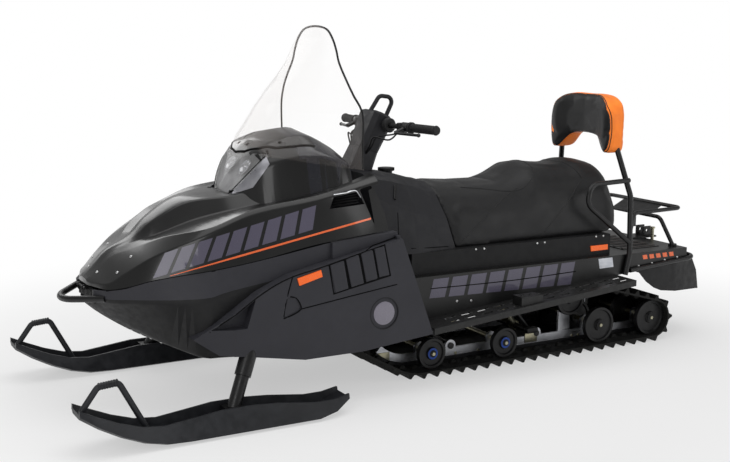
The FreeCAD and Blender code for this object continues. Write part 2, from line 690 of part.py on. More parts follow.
def running_board():
    """Left board: perforated sheet with a turned-down outer lip and a foot block."""
    top = [(BOARD_REAR_X, board_z(BOARD_REAR_X)), (BOARD_FRONT_X, board_z(BOARD_FRONT_X)),
           (BOARD_FRONT_X, board_z(BOARD_FRONT_X) + BOARD_SHEET),
           (BOARD_REAR_X, board_z(BOARD_REAR_X) + BOARD_SHEET)]
    lip = [(BOARD_REAR_X, board_z(BOARD_REAR_X) - BOARD_LIP + BOARD_SHEET),
           (BOARD_FRONT_X, board_z(BOARD_FRONT_X) - BOARD_LIP + BOARD_SHEET),
           (BOARD_FRONT_X, board_z(BOARD_FRONT_X) + BOARD_SHEET),
           (BOARD_REAR_X, board_z(BOARD_REAR_X) + BOARD_SHEET)]
    sheet = prism_xz(top, TUNNEL_HALF_WIDTH, BOARD_OUTER_Y)
    edge = prism_xz(lip, BOARD_OUTER_Y - BOARD_SHEET * 2, BOARD_OUTER_Y)
    behind_panel = box(BOARD_WIDE_X, BOARD_FRONT_X + 10.0, PANEL_INNER_Y - SEAM_GAP, BOARD_OUTER_Y + 10.0, 0,
                       TUNNEL_TOP_Z)
    foot = box(FOOT_BLOCK_X - FOOT_BLOCK_HALF_LENGTH, FOOT_BLOCK_X + FOOT_BLOCK_HALF_LENGTH,
               BOARD_OUTER_Y - FOOT_BLOCK_INNER_GAP, BOARD_OUTER_Y - FOOT_BLOCK_OUTER_GAP,
               board_z(FOOT_BLOCK_X), board_z(FOOT_BLOCK_X) + FOOT_BLOCK_HEIGHT)
    board = fused([sheet, edge, foot]).cut(behind_panel)
    slots = []
    pitch = (0.0 - BOARD_REAR_X) / BOARD_SLOTS
    slot_length = pitch * BOARD_SLOT_SHARE
    for number in range(BOARD_SLOTS):
        x = BOARD_REAR_X + pitch * (number + 0.5)
        if abs(x - FOOT_BLOCK_X) < FOOT_BLOCK_HALF_LENGTH + slot_length:
            continue
        for row in BOARD_SLOT_ROWS:
            y = TUNNEL_HALF_WIDTH + row
            slots.append(box(x - slot_length / 2, x + slot_length / 2, y, y + BOARD_SLOT_WIDTH, 0,
                             TUNNEL_TOP_Z))
    return board.cut(Part.makeCompound(slots))


board = running_board()
write("left_running_board", board)
write("right_running_board", mirrored(board))


# Lower body: bow and flat bottom as a thin shell, open on top
PAN_STATIONS = [
    (1352.0, [(0.0, 405.0), (40.0, 410.0), (112.0, 447.0), (122.0, 478.0)]),
    (1318.0, [(0.0, 375.0), (80.0, 392.0), (183.0, 441.0), (178.0, 484.0)]),
    (1262.0, [(0.0, 333.0), (103.0, 354.0), (236.0, 444.0), (240.0, 500.0)]),
    (1180.0, [(0.0, 279.0), (164.0, 304.0), (305.0, 448.0), (293.0, 528.0)]),
    (1110.0, [(0.0, 240.0), (241.0, 267.0), (355.0, 452.0), (323.0, 541.0)]),
    (1000.0, [(0.0, 196.0), (384.0, 238.0), (398.0, 458.0), (360.0, 557.0)]),
    (960.0, [(0.0, 195.0), (384.0, 236.0), (400.0, 468.0), (374.0, 563.0)]),
    (800.0, [(0.0, 193.0), (385.0, 222.0), (400.0, 492.0), (392.0, 587.0)]),
    (PAN_REAR_X, [(0.0, 190.0), (385.0, 205.0), (400.0, 528.0), (400.0, 632.0)]),
]


def shell_inner(stations, wall, first_shift, last_shift):
    """Cavity of a shell: every section moved in by the wall and run straight out past the open side."""
    inner = []
    for number, (x, points) in enumerate(stations):
        moved = inset(points, wall)
        (y0, z0), (y1, z1) = moved[-2:]
        reach = SHELL_RUN_OUT / math.hypot(y1 - y0, z1 - z0)
        moved[-1] = (y1 + (y1 - y0) * reach, z1 + (z1 - z0) * reach)
        shift = first_shift if number == 0 else (last_shift if number == len(stations) - 1 else 0.0)
        inner.append((x + shift, moved))
    return inner


def strut_line(distance):
    """Point on the left strut's axis at a distance above the ski bolt."""
    down = Vector(math.tan(math.radians(STRUT_CASTER)), math.tan(math.radians(STRUT_LEAN)), -1.0)
    down.normalize()
    return Vector(SKI_BOLT_X, SKI_CENTRE_Y, SKI_BOLT_Z) - down * distance


strut_hole = cylinder_between(STRUT_SLEEVE_RADIUS + SEAM_GAP / 2, strut_line(SLEEVE_BOTTOM),
                              strut_line(SLEEVE_TOP + 5.0))
pan_outer = skin(PAN_STATIONS)
pan_inner = skin(shell_inner(PAN_STATIONS, -WALL, -WALL * 2, -40.0))
pan = pan_outer.cut(pan_inner)
pan = pan.cut(strut_hole).cut(mirrored(strut_hole))
pan = pan.cut(box(1336.0, 1400.0, -GRILLE_HALF_WIDTH, GRILLE_HALF_WIDTH, GRILLE_LOW_Z, 500.0))
write("belly_pan", pan)

# Struts: fixed sleeve in the body, turning leg below it
sleeve = cylinder_between(STRUT_SLEEVE_RADIUS, strut_line(SLEEVE_BOTTOM), strut_line(SLEEVE_TOP))
sleeve = sleeve.cut(cylinder_between(STRUT_LEG_RADIUS + RUNNING_GAP, strut_line(SLEEVE_BOTTOM - 5.0),
                                     strut_line(SLEEVE_TOP - 20.0)))
write("strut_sleeves", pair(sleeve))

# Front subframe: two floor rails, a cross member and a tower out to each sleeve
tower_x = strut_line(SLEEVE_TOP - 60.0).x
subframe = [box(TUNNEL_FRONT_X, SUBFRAME_FRONT_X, SUBFRAME_Y, SUBFRAME_Y + SUBFRAME_WIDTH, SUBFRAME_FLOOR_Z,
                SUBFRAME_FLOOR_Z + SUBFRAME_WIDTH),
            box(SUBFRAME_FRONT_X - SUBFRAME_WIDTH, SUBFRAME_FRONT_X, 0.0, SUBFRAME_Y + SUBFRAME_WIDTH,
                SUBFRAME_FLOOR_Z, SUBFRAME_FLOOR_Z + SUBFRAME_WIDTH),
            box(tower_x - 30.0, tower_x + 30.0, SUBFRAME_Y, SUBFRAME_Y + SUBFRAME_WIDTH, SUBFRAME_FLOOR_Z,
                SUBFRAME_TOWER_Z + SUBFRAME_WIDTH)]
arm = box(tower_x - 24.0, tower_x + 24.0, SUBFRAME_Y, PANEL_INNER_Y, SUBFRAME_TOWER_Z,
          SUBFRAME_TOWER_Z + SUBFRAME_WIDTH)
arm = arm.cut(cylinder_between(STRUT_SLEEVE_RADIUS, strut_line(SLEEVE_BOTTOM), strut_line(SLEEVE_TOP + 80.0)))
arm = arm.cut(box(tower_x - 50.0, tower_x + 50.0, strut_line(SLEEVE_TOP - 60.0).y - 14.0, 500.0, 0.0, 600.0))
half_subframe = fused(subframe + [arm])
write("front_subframe", fused([half_subframe, mirrored(half_subframe)]))


# Side panels
RAISED_OUTLINE = [(1070.0, 318.0), (985.0, 258.0), (905.0, 250.0), (651.0, 204.0), (400.0, 204.0),
                  (86.0, 234.0), (232.0, 630.0), (713.0, 529.0), (837.0, 476.0)]
BAND_OUTLINE = [(PAN_REAR_X, 520.0), (225.0, 610.0), (238.0, 653.0), (PAN_REAR_X, 632.0)]
HOLLOW_OUTLINE = [(826.0, 290.0), (640.0, 232.0), (400.0, 232.0), (150.0, 256.0), (262.0, 590.0),
                  (700.0, 490.0), (812.0, 445.0)]
RECESS_OUTLINE = [(1012.0, 352.0), (850.0, 456.0), (884.0, 352.0)]
POCKET_OUTLINE = [(741.0, 381.0), (727.0, 445.0), (713.0, 453.0), (686.0, 447.0), (668.0, 413.0),
                  (676.0, 395.0), (731.0, 373.0)]
# Louvres: front high, rear high, rear low and front low corner of each slat
LOUVRES = [
    ((552.0, 556.0), (495.0, 568.0), (473.0, 461.0), (535.0, 449.0)),
    ((484.0, 573.0), (431.0, 585.0), (409.0, 473.0), (462.0, 465.0)),
    ((420.0, 589.0), (373.0, 599.0), (349.0, 485.0), (396.0, 477.0)),
    ((362.0, 602.0), (318.0, 608.0), (294.0, 495.0), (338.0, 489.0)),
]


def louvre(corners):
    """One slat: flush at its front edge, standing out at its rear edge."""
    front_high, rear_high, rear_low, front_low = corners
    root = PANEL_OUTER_Y - WALL + 1.0
    wires = []
    for high, low, out in ((front_high, front_low, PANEL_OUTER_Y + 0.5),
                           (rear_high, rear_low, PANEL_OUTER_Y + LOUVRE_LIFT)):
        edge = [Vector(high[0], root, high[1]), Vector(high[0], out, high[1]), Vector(low[0], out, low[1]),
                Vector(low[0], root, low[1])]
        wires.append(Part.makePolygon(edge + edge[:1]))
    return Part.makeLoft(wires, True, True)


def louvre_slot(corners):
    """Air slot through the wall behind one slat."""
    rear_high, rear_low = corners[1:3]
    return prism_xz([rear_high, (rear_high[0] - LOUVRE_GAP, rear_high[1] + 1.5),
                     (rear_low[0] - LOUVRE_GAP, rear_low[1] + 1.5), rear_low],
                    PANEL_INNER_Y, PANEL_OUTER_Y + LOUVRE_LIFT)


def side_panel():
    """Left panel: raised moulding over the strut, four slats and a rear return to the tunnel."""
    raised = prism_xz(RAISED_OUTLINE, PANEL_NOSE_INNER_Y, PANEL_OUTER_Y)
    raised = raised.cut(box(-100.0, PANEL_NOSE_X, 0.0, PANEL_INNER_Y, 0.0, 700.0))
    raised = raised.cut(prism_xy([(PANEL_TAPER_X, PANEL_OUTER_Y), (PANEL_TIP_X, PANEL_TIP_Y),
                                  (PANEL_TIP_X, PANEL_OUTER_Y + 10.0), (PANEL_TAPER_X, PANEL_OUTER_Y + 10.0)],
                                 0.0, 700.0))
    raised = largest(raised.cut(pan_outer))
    band = prism_xz(BAND_OUTLINE, PANEL_INNER_Y - 22.0, PANEL_INNER_Y + 14.0)
    rear_return = prism_xz([(86.0, 240.0), (104.0, 240.0), (250.0, 640.0), (232.0, 640.0)],
                           TUNNEL_HALF_WIDTH, PANEL_OUTER_Y - 20.0)
    rear_return = rear_return.common(box(0, 400, 0, 500, board_z(150.0) + 20.0, 700))
    panel = fused([raised, band, rear_return])
    panel = panel.cut(prism_xz(HOLLOW_OUTLINE, PANEL_INNER_Y - 1.0, PANEL_OUTER_Y - WALL))
    panel = panel.cut(prism_xz(RECESS_OUTLINE, RECESS_FLOOR_Y, PANEL_OUTER_Y + 10.0))
    panel = panel.cut(prism_xz(POCKET_OUTLINE, PANEL_OUTER_Y - SHALLOW_DEPTH, PANEL_OUTER_Y + 10.0))
    panel = panel.cut(cylinder_y(DISC_RADIUS, DISC_X, DISC_Z, PANEL_OUTER_Y - SHALLOW_DEPTH,
                                 PANEL_OUTER_Y + 10.0))
    panel = fused([panel] + [louvre(corners) for corners in LOUVRES])
    for corners in LOUVRES:
        panel = panel.cut(louvre_slot(corners))
    return largest(panel.cut(strut_hole))


panel = side_panel()
write("left_side_panel", panel)
write("right_side_panel", mirrored(panel))

# Hood: glossy shell hinged at the nose
HOOD_STATIONS = [
    (1358.0, [(0.0, 507.0), (14.0, 506.0), (26.0, 505.0), (38.0, 504.0), (52.0, 500.0), (60.0, 487.0)]),
    (1318.0, [(0.0, 548.0), (14.0, 545.0), (30.0, 541.0), (50.0, 536.0), (165.0, 506.0), (176.0, 487.0)]),
    (1262.0, [(0.0, 604.0), (14.0, 600.0), (34.0, 594.0), (62.0, 588.0), (208.0, 546.0), (238.0, 503.0)]),
    (1180.0, [(0.0, 644.0), (30.0, 641.0), (62.0, 634.0), (120.0, 627.0), (256.0, 604.0), (292.0, 531.0)]),
    (1110.0, [(0.0, 712.0), (54.0, 702.0), (92.0, 655.0), (195.0, 668.0), (292.0, 640.0), (322.0, 544.0)]),
    (960.0, [(0.0, 788.0), (92.0, 780.0), (132.0, 712.0), (334.0, 716.0), (350.0, 700.0), (373.0, 566.0)]),
    (800.0, [(0.0, 800.0), (150.0, 800.0), (190.0, 752.0), (347.0, 774.0), (362.0, 756.0), (392.0, 590.0)]),
    (560.0, [(0.0, 850.0), (150.0, 848.0), (262.0, 800.0), (346.0, 806.0), (360.0, 790.0), (401.0, 632.0)]),
    (HOOD_REAR_X, [(0.0, 868.0), (120.0, 866.0), (200.0, 866.0), (272.0, 860.0), (300.0, 840.0),
                   (388.0, 657.0)]),
]
POD_STATIONS = [
    (806.0, [(0.0, 820.0), (36.0, 815.0), (62.0, 796.0), (70.0, 740.0)]),
    (760.0, [(0.0, 905.0), (96.0, 893.0), (150.0, 850.0), (180.0, 740.0)]),
    (715.0, [(0.0, 972.0), (120.0, 958.0), (196.0, 900.0), (235.0, 740.0)]),
    (655.0, [(0.0, 1006.0), (150.0, 988.0), (224.0, 930.0), (266.0, 740.0)]),
    (520.0, [(0.0, 1038.0), (150.0, 1018.0), (245.0, 955.0), (302.0, 740.0)]),
    (400.0, [(0.0, 978.0), (150.0, 968.0), (250.0, 925.0), (306.0, 760.0)]),
    (300.0, [(0.0, 884.0), (120.0, 884.0), (225.0, 876.0), (270.0, 780.0)]),
]
hood_outer = skin(HOOD_STATIONS)
pod_outer = skin(POD_STATIONS)
hood_inner = skin(shell_inner(HOOD_STATIONS, WALL, -WALL * 2, -40.0))
pod_inner = skin(shell_inner(POD_STATIONS, WALL, -WALL * 3, -40.0))
pod_above = pod_outer.common(box(200, 900, -400, 400, POD_FOOT_Z, 1100))
hood = hood_outer.fuse(pod_above).cut(hood_inner).cut(pod_inner)

# Lamp plane: the pod's front is cut off along it, and the lens takes the place of what was cut
lens_block = prism_xz([LENS_FOOT, LENS_HEAD, (LENS_HEAD[0] + 200.0, LENS_HEAD[1]),
                       (LENS_FOOT[0] + 200.0, LENS_FOOT[1])], -240.0, 240.0)
lens_core = skin(shell_inner(POD_STATIONS, LENS_WALL, -LENS_WALL * 2, -60.0))
lens = pod_outer.common(lens_block).cut(lens_core)
hood = hood.cut(lens_block.common(pod_outer))
knuckle = cylinder_y(KNUCKLE_RADIUS, HOOD_HINGE_X, HOOD_HINGE_Z, KNUCKLE_INNER_Y, KNUCKLE_OUTER_Y)
knuckle = knuckle.fuse(prism_xz([(1350.0, 490.0), (1358.0, 496.0), (HOOD_HINGE_X + 4.0, HOOD_HINGE_Z + 6.9),
                                 (HOOD_HINGE_X - 4.0, HOOD_HINGE_Z - 6.9), (1354.0, 486.0)],
                                KNUCKLE_INNER_Y, KNUCKLE_OUTER_Y))
knuckle = knuckle.cut(cylinder_y(HINGE_PIN_RADIUS + RUNNING_GAP, HOOD_HINGE_X, HOOD_HINGE_Z, 0.0, 100.0))
hood = fused([hood, knuckle, mirrored(knuckle)])
write("hood_shell", hood)
write("headlight_lens", lens)

# Lamp housing: a panel on the lamp plane with two round reflector bowls
unit_out = Vector(LENS_HEAD[1] - LENS_FOOT[1], 0, LENS_FOOT[0] - LENS_HEAD[0]).normalize()
plate = prism_xz([LENS_FOOT, LENS_HEAD, (LENS_HEAD[0] - 14.0, LENS_HEAD[1]),
                  (LENS_FOOT[0] - 14.0, LENS_FOOT[1])], -240.0, 240.0)
housing = plate.common(skin(shell_inner(POD_STATIONS, WALL + 1.0, -WALL * 3, -40.0)))
for side in (-1, 1):
    centre = Vector((LENS_FOOT[0] + LENS_HEAD[0]) / 2 - 8.0, side * BOWL_Y,
                    (LENS_FOOT[1] + LENS_HEAD[1]) / 2 + 26.0)
    bowl = Part.makeSphere(BOWL_RADIUS, centre + unit_out * (BOWL_RADIUS * 0.72))
    housing = housing.cut(bowl)
write("headlight_housing", housing)

# Windshield: one clear sheet wrapped round the pod, its rear edges in one upright plane
SCREEN_LEVELS = [
    (890.0, 762.0, 360.0, 362.0),
    (944.0, 735.0, 363.0, 364.0),
    (1000.0, 702.0, 366.0, 366.0),
    (1110.0, 610.0, 368.0, 364.0),
    (1178.0, 556.0, 381.0, 315.0),
    (1230.0, 508.0, 386.0, 270.0),
    (1296.0, 466.0, 387.0, 210.0),
    (1346.0, 440.0, 387.0, 185.0),
    (1391.0, 419.0, 387.0, 152.0),
    (1428.0, 408.0, 386.0, 98.0),
    (1441.0, 396.0, 388.0, 20.0),
]


def screen_section(level, front, rear, half_width):
    """Plan section of the windshield sheet, a closed strip as thick as the sheet."""
    def half_curve(shrink):
        depth = front - shrink - rear
        width = half_width - shrink
        points = [(rear, width), (rear + depth * 0.42, width * 0.94), (rear + depth * 0.80, width * 0.62),
                  (rear + depth, 0.0)]
        return points + [(x, -y) for x, y in reversed(points[:-1])]
    thickness = min(SCREEN_THICKNESS, half_width * 0.4)
    outer = [Vector(x, y, level) for x, y in half_curve(0.0)]
    inner = [Vector(x, y, level) for x, y in reversed(half_curve(thickness))]
    outer_curve = Part.BSplineCurve()
    outer_curve.interpolate(outer)
    inner_curve = Part.BSplineCurve()
    inner_curve.interpolate(inner)
    return Part.Wire([outer_curve.toShape(), Part.LineSegment(outer[-1], inner[0]).toShape(),
                      inner_curve.toShape(), Part.LineSegment(inner[-1], outer[0]).toShape()])


screen = Part.makeLoft([screen_section(*level) for level in SCREEN_LEVELS], True, True)
screen = screen.cut(pod_outer).cut(hood_outer)
screen = screen.cut(prism_xz([(900.0, 700.0), (900.0, 880.0), (760.0, 944.0), (640.0, 940.0), (340.0, 890.0),
                              (340.0, 700.0)], -500.0, 500.0))
screen = largest(screen)
write("windshield", screen)

# Engine, a plain block on the front bulkhead
engine = box(TUNNEL_FRONT_X, ENGINE_FRONT_X, -ENGINE_HALF_WIDTH, ENGINE_HALF_WIDTH, ENGINE_LOW_Z,
             ENGINE_TOP_Z)
write("engine_block", engine)

# Grille under the nose, with the ears and the pin of the hood hinge
grille_half = GRILLE_HALF_WIDTH - RUNNING_GAP
grille_low = GRILLE_LOW_Z + RUNNING_GAP
grille_pieces = []
for low in (grille_low, GRILLE_TOP_Z - GRILLE_BAR_WIDTH):
    grille_pieces.append(box(GRILLE_X, GRILLE_X + 4.0, -grille_half, grille_half, low,
                             low + GRILLE_BAR_WIDTH))
for number in range(GRILLE_BARS):
    y = -grille_half + number * (2 * grille_half - GRILLE_BAR_WIDTH) / (GRILLE_BARS - 1)
    grille_pieces.append(box(GRILLE_X, GRILLE_X + 10.0, y, y + GRILLE_BAR_WIDTH, grille_low, GRILLE_TOP_Z))
for side in (-1, 1):
    ear = [(1338.0, 462.0), (1338.0, 474.0), (HOOD_HINGE_X - 4.0, HOOD_HINGE_Z + 7.0),
           (HOOD_HINGE_X + 6.0, HOOD_HINGE_Z + 5.0), (HOOD_HINGE_X + 6.0, HOOD_HINGE_Z - 5.0)]
    grille_pieces.append(prism_xz(ear, min(side * 28.0, side * 34.0), max(side * 28.0, side * 34.0)))
grille_pieces.append(cylinder_y(HINGE_PIN_RADIUS, HOOD_HINGE_X, HOOD_HINGE_Z, -56.0, 56.0))
write("nose_grille", fused(grille_pieces))

# Front bumper: flat bow of tube out of the corners of the nose
bumper = tube([BUMPER_ENTRY, BUMPER_CORNER, (BUMPER_ENTRY[0], -BUMPER_ENTRY[1], BUMPER_ENTRY[2])],
              BOW_TUBE_RADIUS, BUMPER_BEND)
bumper = bumper.cut(pan_outer)
bumper = largest(bumper)
write("front_bumper", bumper)

# Tank cover, seat and the box under them
TANK_STATIONS = [
    (254.0, [(0.0, 856.0), (150.0, 854.0), (215.0, 840.0), (262.0, 770.0), (286.0, 530.0)]),
    (142.0, [(0.0, 850.0), (110.0, 846.0), (190.0, 818.0), (254.0, 720.0), (286.0, 530.0)]),
    (51.0, [(0.0, 834.0), (100.0, 830.0), (165.0, 795.0), (240.0, 690.0), (286.0, 530.0)]),
    (-50.0, [(0.0, 805.0), (110.0, 799.0), (172.0, 764.0), (235.0, 660.0), (270.0, 530.0)]),
    (-150.0, [(0.0, 790.0), (112.0, 786.0), (170.0, 752.0), (228.0, 650.0), (256.0, 530.0)]),
]
SEAT_STATIONS = [
    (-40.0, [(0.0, 804.0), (110.0, 798.0), (172.0, 764.0), (232.0, 655.0), (262.0, 530.0)]),
    (-150.0, [(0.0, 790.0), (112.0, 786.0), (170.0, 752.0), (228.0, 650.0), (256.0, 530.0)]),
    (-300.0, [(0.0, 781.0), (113.0, 776.0), (170.0, 744.0), (224.0, 650.0), (252.0, 530.0)]),
    (-420.0, [(0.0, 780.0), (114.0, 778.0), (172.0, 748.0), (222.0, 650.0), (250.0, 530.0)]),
    (-500.0, [(0.0, 796.0), (113.0, 796.0), (172.0, 758.0), (222.0, 650.0), (250.0, 530.0)]),
    (-560.0, [(0.0, 832.0), (112.0, 824.0), (174.0, 774.0), (223.0, 655.0), (250.0, 530.0)]),
    (-605.0, [(0.0, 853.0), (112.0, 843.0), (176.0, 788.0), (224.0, 660.0), (250.0, 530.0)]),
    (-700.0, [(0.0, 840.0), (114.0, 834.0), (180.0, 784.0), (226.0, 660.0), (250.0, 530.0)]),
    (-800.0, [(0.0, 832.0), (116.0, 826.0), (182.0, 786.0), (226.0, 660.0), (250.0, 530.0)]),
    (-900.0, [(0.0, 850.0), (116.0, 842.0), (184.0, 796.0), (226.0, 660.0), (247.0, 530.0)]),
    (-960.0, [(0.0, 846.0), (115.0, 838.0), (182.0, 792.0), (224.0, 660.0), (242.0, 530.0)]),
    (-1010.0, [(0.0, 818.0), (112.0, 810.0), (175.0, 768.0), (214.0, 660.0), (228.0, 536.0)]),
    (-1042.0, [(0.0, 762.0), (104.0, 754.0), (164.0, 724.0), (203.0, 650.0), (213.0, 552.0)]),
    (SEAT_REAR_X, [(0.0, 700.0), (92.0, 696.0), (146.0, 680.0), (182.0, 640.0), (188.0, 600.0)]),
]
behind = prism_xz([JOINT_TOP, JOINT_FOOT, (-1400.0, JOINT_FOOT[1]), (-1400.0, JOINT_TOP[1])], -400.0, 400.0)
ahead = prism_xz([(JOINT_TOP[0] - SEAM_GAP, JOINT_TOP[1]), (JOINT_FOOT[0] - SEAM_GAP, JOINT_FOOT[1]),
                  (600.0, JOINT_FOOT[1]), (600.0, JOINT_TOP[1])], -400.0, 400.0)
tank = skin(TANK_STATIONS).cut(behind)
seat = skin(SEAT_STATIONS).cut(ahead)
write("seat_cushion", seat)
write("seat_base", box(SEAT_BASE_REAR_X, SEAT_BASE_FRONT_X, -SEAT_BASE_HALF_WIDTH, SEAT_BASE_HALF_WIDTH,
                       TUNNEL_TOP_Z, SEAT_BASE_TOP_Z))

cap_neck = Part.makeCylinder(CAP_RADIUS - 8.0, 30.0, Vector(CAP_X, 0, CAP_BASE_Z - 24.0), Vector(0, 0, 1))
cap = Part.makeCylinder(CAP_RADIUS, CAP_HEIGHT, Vector(CAP_X, 0, CAP_BASE_Z), Vector(0, 0, 1))
cap = cap.makeFillet(3.0, [edge for edge in cap.Edges if edge.BoundBox.ZMin > CAP_BASE_Z + CAP_HEIGHT - 1.0])
tank = tank.fuse(cap_neck).removeSplitter()
tank = tank.cut(Part.makeCylinder(CAP_RADIUS + 1.0, 60.0, Vector(CAP_X, 0, CAP_BASE_Z), Vector(0, 0, 1)))
write("fuel_cap", cap)

# Steering column frame: forward, left and along the column


def column_point(forward, left, along):
    """Point given in the frame of the steering column."""
    return Vector(COLUMN_X, 0, COLUMN_Z) + COLUMN_FORWARD * forward + Vector(0, left, 0) + COLUMN_AXIS * along


def column_block(levels):
    """Solid through rounded-corner sections across the column: along, half depth, half width, cut corner."""
    wires = []
    for along, depth, width, corner in levels:
        outline = [(depth, width - corner), (depth - corner, width), (-depth + corner, width),
                   (-depth, width - corner), (-depth, -width + corner), (-depth + corner, -width),
                   (depth - corner, -width), (depth, -width + corner)]
        corners = [column_point(u, v, along) for u, v in outline]
        wires.append(Part.makePolygon(corners + corners[:1]))
    return Part.makeLoft(wires, True, True)


post = cylinder_between(POST_RADIUS, column_point(0, 0, COVER_BASE + 70.0),
                        column_point(0, 0, BAR_HEIGHT - 8.0))
cover = column_block([(COVER_BASE, COVER_HALF_DEPTH + 8.0, COVER_HALF_WIDTH + 6.0, 16.0),
                      (COVER_SPLIT, COVER_HALF_DEPTH, COVER_HALF_WIDTH, 16.0)])
cover = cover.cut(tank)
cover = largest(cover)
cover = cover.cut(cylinder_between(POST_RADIUS + RUNNING_GAP, column_point(0, 0, COVER_BASE + 68.0),
                                   column_point(0, 0, COVER_TOP)))
write("console_cover", cover)
write("fuel_tank", tank)

bar_path = []
for side in (1, -1):
    ends = [column_point(-BAR_SETBACK - BAR_SWEEP, side * BAR_HALF_WIDTH, BAR_HEIGHT + BAR_RISE),
            column_point(-BAR_SETBACK, side * BAR_CENTRE_HALF, BAR_HEIGHT)]
    bar_path += ends if side > 0 else ends[::-1]
bar = tube([tuple(p) for p in bar_path], BAR_RADIUS, 70.0)
clamp = column_block([(BAR_HEIGHT - 24.0, 26.0, 30.0, 4.0), (BAR_HEIGHT + 18.0, 26.0, 30.0, 4.0)])
strap_front = column_point(42.0, 0, COVER_TOP - 40.0)
strap_rear = column_point(-40.0, 0, COVER_TOP - 40.0)
strap = tube([tuple(strap_front), tuple(column_point(24.0, 0, STRAP_HEIGHT - 14.0)),
              tuple(column_point(-44.0, 0, STRAP_HEIGHT + 8.0)), tuple(strap_rear)], STRAP_RADIUS, 24.0)
handlebar = fused([bar, clamp, post])
pad = column_block([(COVER_SPLIT + SEAM_GAP, COVER_HALF_DEPTH, COVER_HALF_WIDTH, 16.0),
                    (BAR_HEIGHT - 50.0, PAD_HALF_DEPTH - 2.0, PAD_HALF_WIDTH - 6.0, 18.0),
                    (COVER_TOP - 10.0, PAD_HALF_DEPTH, PAD_HALF_WIDTH, 18.0),
                    (COVER_TOP, PAD_HALF_DEPTH - 12.0, PAD_HALF_WIDTH - 12.0, 18.0)])
pad = fused([pad, strap]).cut(handlebar)
write("handlebar", handlebar)
write("handlebar_pad", largest(pad))


def grip(side):
    """Rubber grip on one end of the bar, with an inner flange and a closed end."""
    end = column_point(-BAR_SETBACK - BAR_SWEEP, side * BAR_HALF_WIDTH, BAR_HEIGHT + BAR_RISE)
    inner = column_point(-BAR_SETBACK, side * BAR_CENTRE_HALF, BAR_HEIGHT)
    along = (inner - end).normalize()
    body = cylinder_between(GRIP_RADIUS, end - along * 5.0, end + along * GRIP_LENGTH)
    flange = cylinder_between(GRIP_RADIUS + 6.0, end + along * (GRIP_LENGTH - 5.0), end + along * GRIP_LENGTH)
    return fused([body, flange]).cut(bar)


write("grips", Part.makeCompound(grip(1).Solids + grip(-1).Solids))


def lever(side, blade_length):
    """Clamp on the bar with a lever blade ahead of the grip."""
    end = column_point(-BAR_SETBACK - BAR_SWEEP, side * BAR_HALF_WIDTH, BAR_HEIGHT + BAR_RISE)
    inner = column_point(-BAR_SETBACK, side * BAR_CENTRE_HALF, BAR_HEIGHT)
    along = (inner - end).normalize()
    start = end + along * (GRIP_LENGTH + 8.0)
    body = cylinder_between(BAR_RADIUS + 9.0, start, start + along * 42.0)
    forward = COLUMN_FORWARD
    pivot = start + along * 20.0 + forward * LEVER_REACH - COLUMN_AXIS * LEVER_DROP
    arm = cylinder_between(9.0, start + along * 20.0, pivot)
    blade = cylinder_between(6.0, pivot, pivot - along * blade_length + forward * 6.0)
    knob = Part.makeSphere(8.0, pivot - along * blade_length + forward * 6.0)
    return fused([body, arm, blade, knob]).cut(bar)


write("hand_levers", Part.makeCompound(lever(1, LEVER_BLADES[0]).Solids + lever(-1, LEVER_BLADES[1]).Solids))

# Skis: moulded channels, each on the foot of its turning leg
SKI_STATIONS = [
    (-450.0, 46.0, 58.0, 40.0, 30.0),
    (-385.0, 14.0, 84.0, 56.0, 50.0),
    (-310.0, 0.0, 96.0, 66.0, 64.0),
    (-160.0, 0.0, 96.0, 66.0, 84.0),
    (-60.0, 0.0, 96.0, 66.0, 92.0),
    (60.0, 0.0, 96.0, 66.0, 92.0),
    (180.0, 0.0, 96.0, 66.0, 78.0),
    (270.0, 4.0, 96.0, 66.0, 64.0),
    (350.0, 22.0, 94.0, 64.0, 55.0),
    (430.0, 54.0, 90.0, 60.0, 49.0),
    (505.0, 94.0, 79.0, 53.0, 42.0),
    (566.0, 134.0, 55.0, 39.0, 32.0),
]


def ski():
    """Left ski about its own centre line: sole, two side walls and a floor between them."""
    wires = []
    for x, base, half, sole, height in SKI_STATIONS:
        top = min(SKI_WALL_Y, half - 8.0)
        outline = [(-sole, 0.0), (sole, 0.0), (half, 12.0), (top + 4.0, height), (top - 5.0, height),
                   (top - 9.0, SKI_FLOOR), (-top + 9.0, SKI_FLOOR), (-top + 5.0, height),
                   (-top - 4.0, height), (-half, 12.0)]
        corners = [Vector(SKI_BOLT_X + x, SKI_CENTRE_Y + y, base + z) for y, z in outline]
        wires.append(Part.makePolygon(corners + corners[:1]))
    return Part.makeLoft(wires, True, True)


bolt = cylinder_y(SKI_BOLT_RADIUS, SKI_BOLT_X, SKI_BOLT_Z, SKI_CENTRE_Y - 66.0, SKI_CENTRE_Y + 66.0)
foot = box(SKI_BOLT_X - 34.0, SKI_BOLT_X + 34.0, SKI_CENTRE_Y - 36.0, SKI_CENTRE_Y + 36.0, SKI_BOLT_Z - 24.0,
           SKI_BOLT_Z + 22.0)
leg = cylinder_between(STRUT_LEG_RADIUS, strut_line(8.0), strut_line(SLEEVE_BOTTOM + 150.0))
spindle = fused([leg, foot, bolt])
left_ski = ski().cut(bolt)


loop_path = [(SKI_BOLT_X + 308.0, SKI_CENTRE_Y, 28.0), (SKI_BOLT_X + 416.0, SKI_CENTRE_Y, 232.0),
             (SKI_BOLT_X + 488.0, SKI_CENTRE_Y, 226.0), (SKI_BOLT_X + 552.0, SKI_CENTRE_Y, 140.0)]
left_ski = fused([left_ski, tube(loop_path, SKI_LOOP_RADIUS, 26.0)])
for name, shape in (("ski", left_ski), ("spindle", spindle)):
    write("left_" + name, shape)
    write("right_" + name, mirrored(shape))

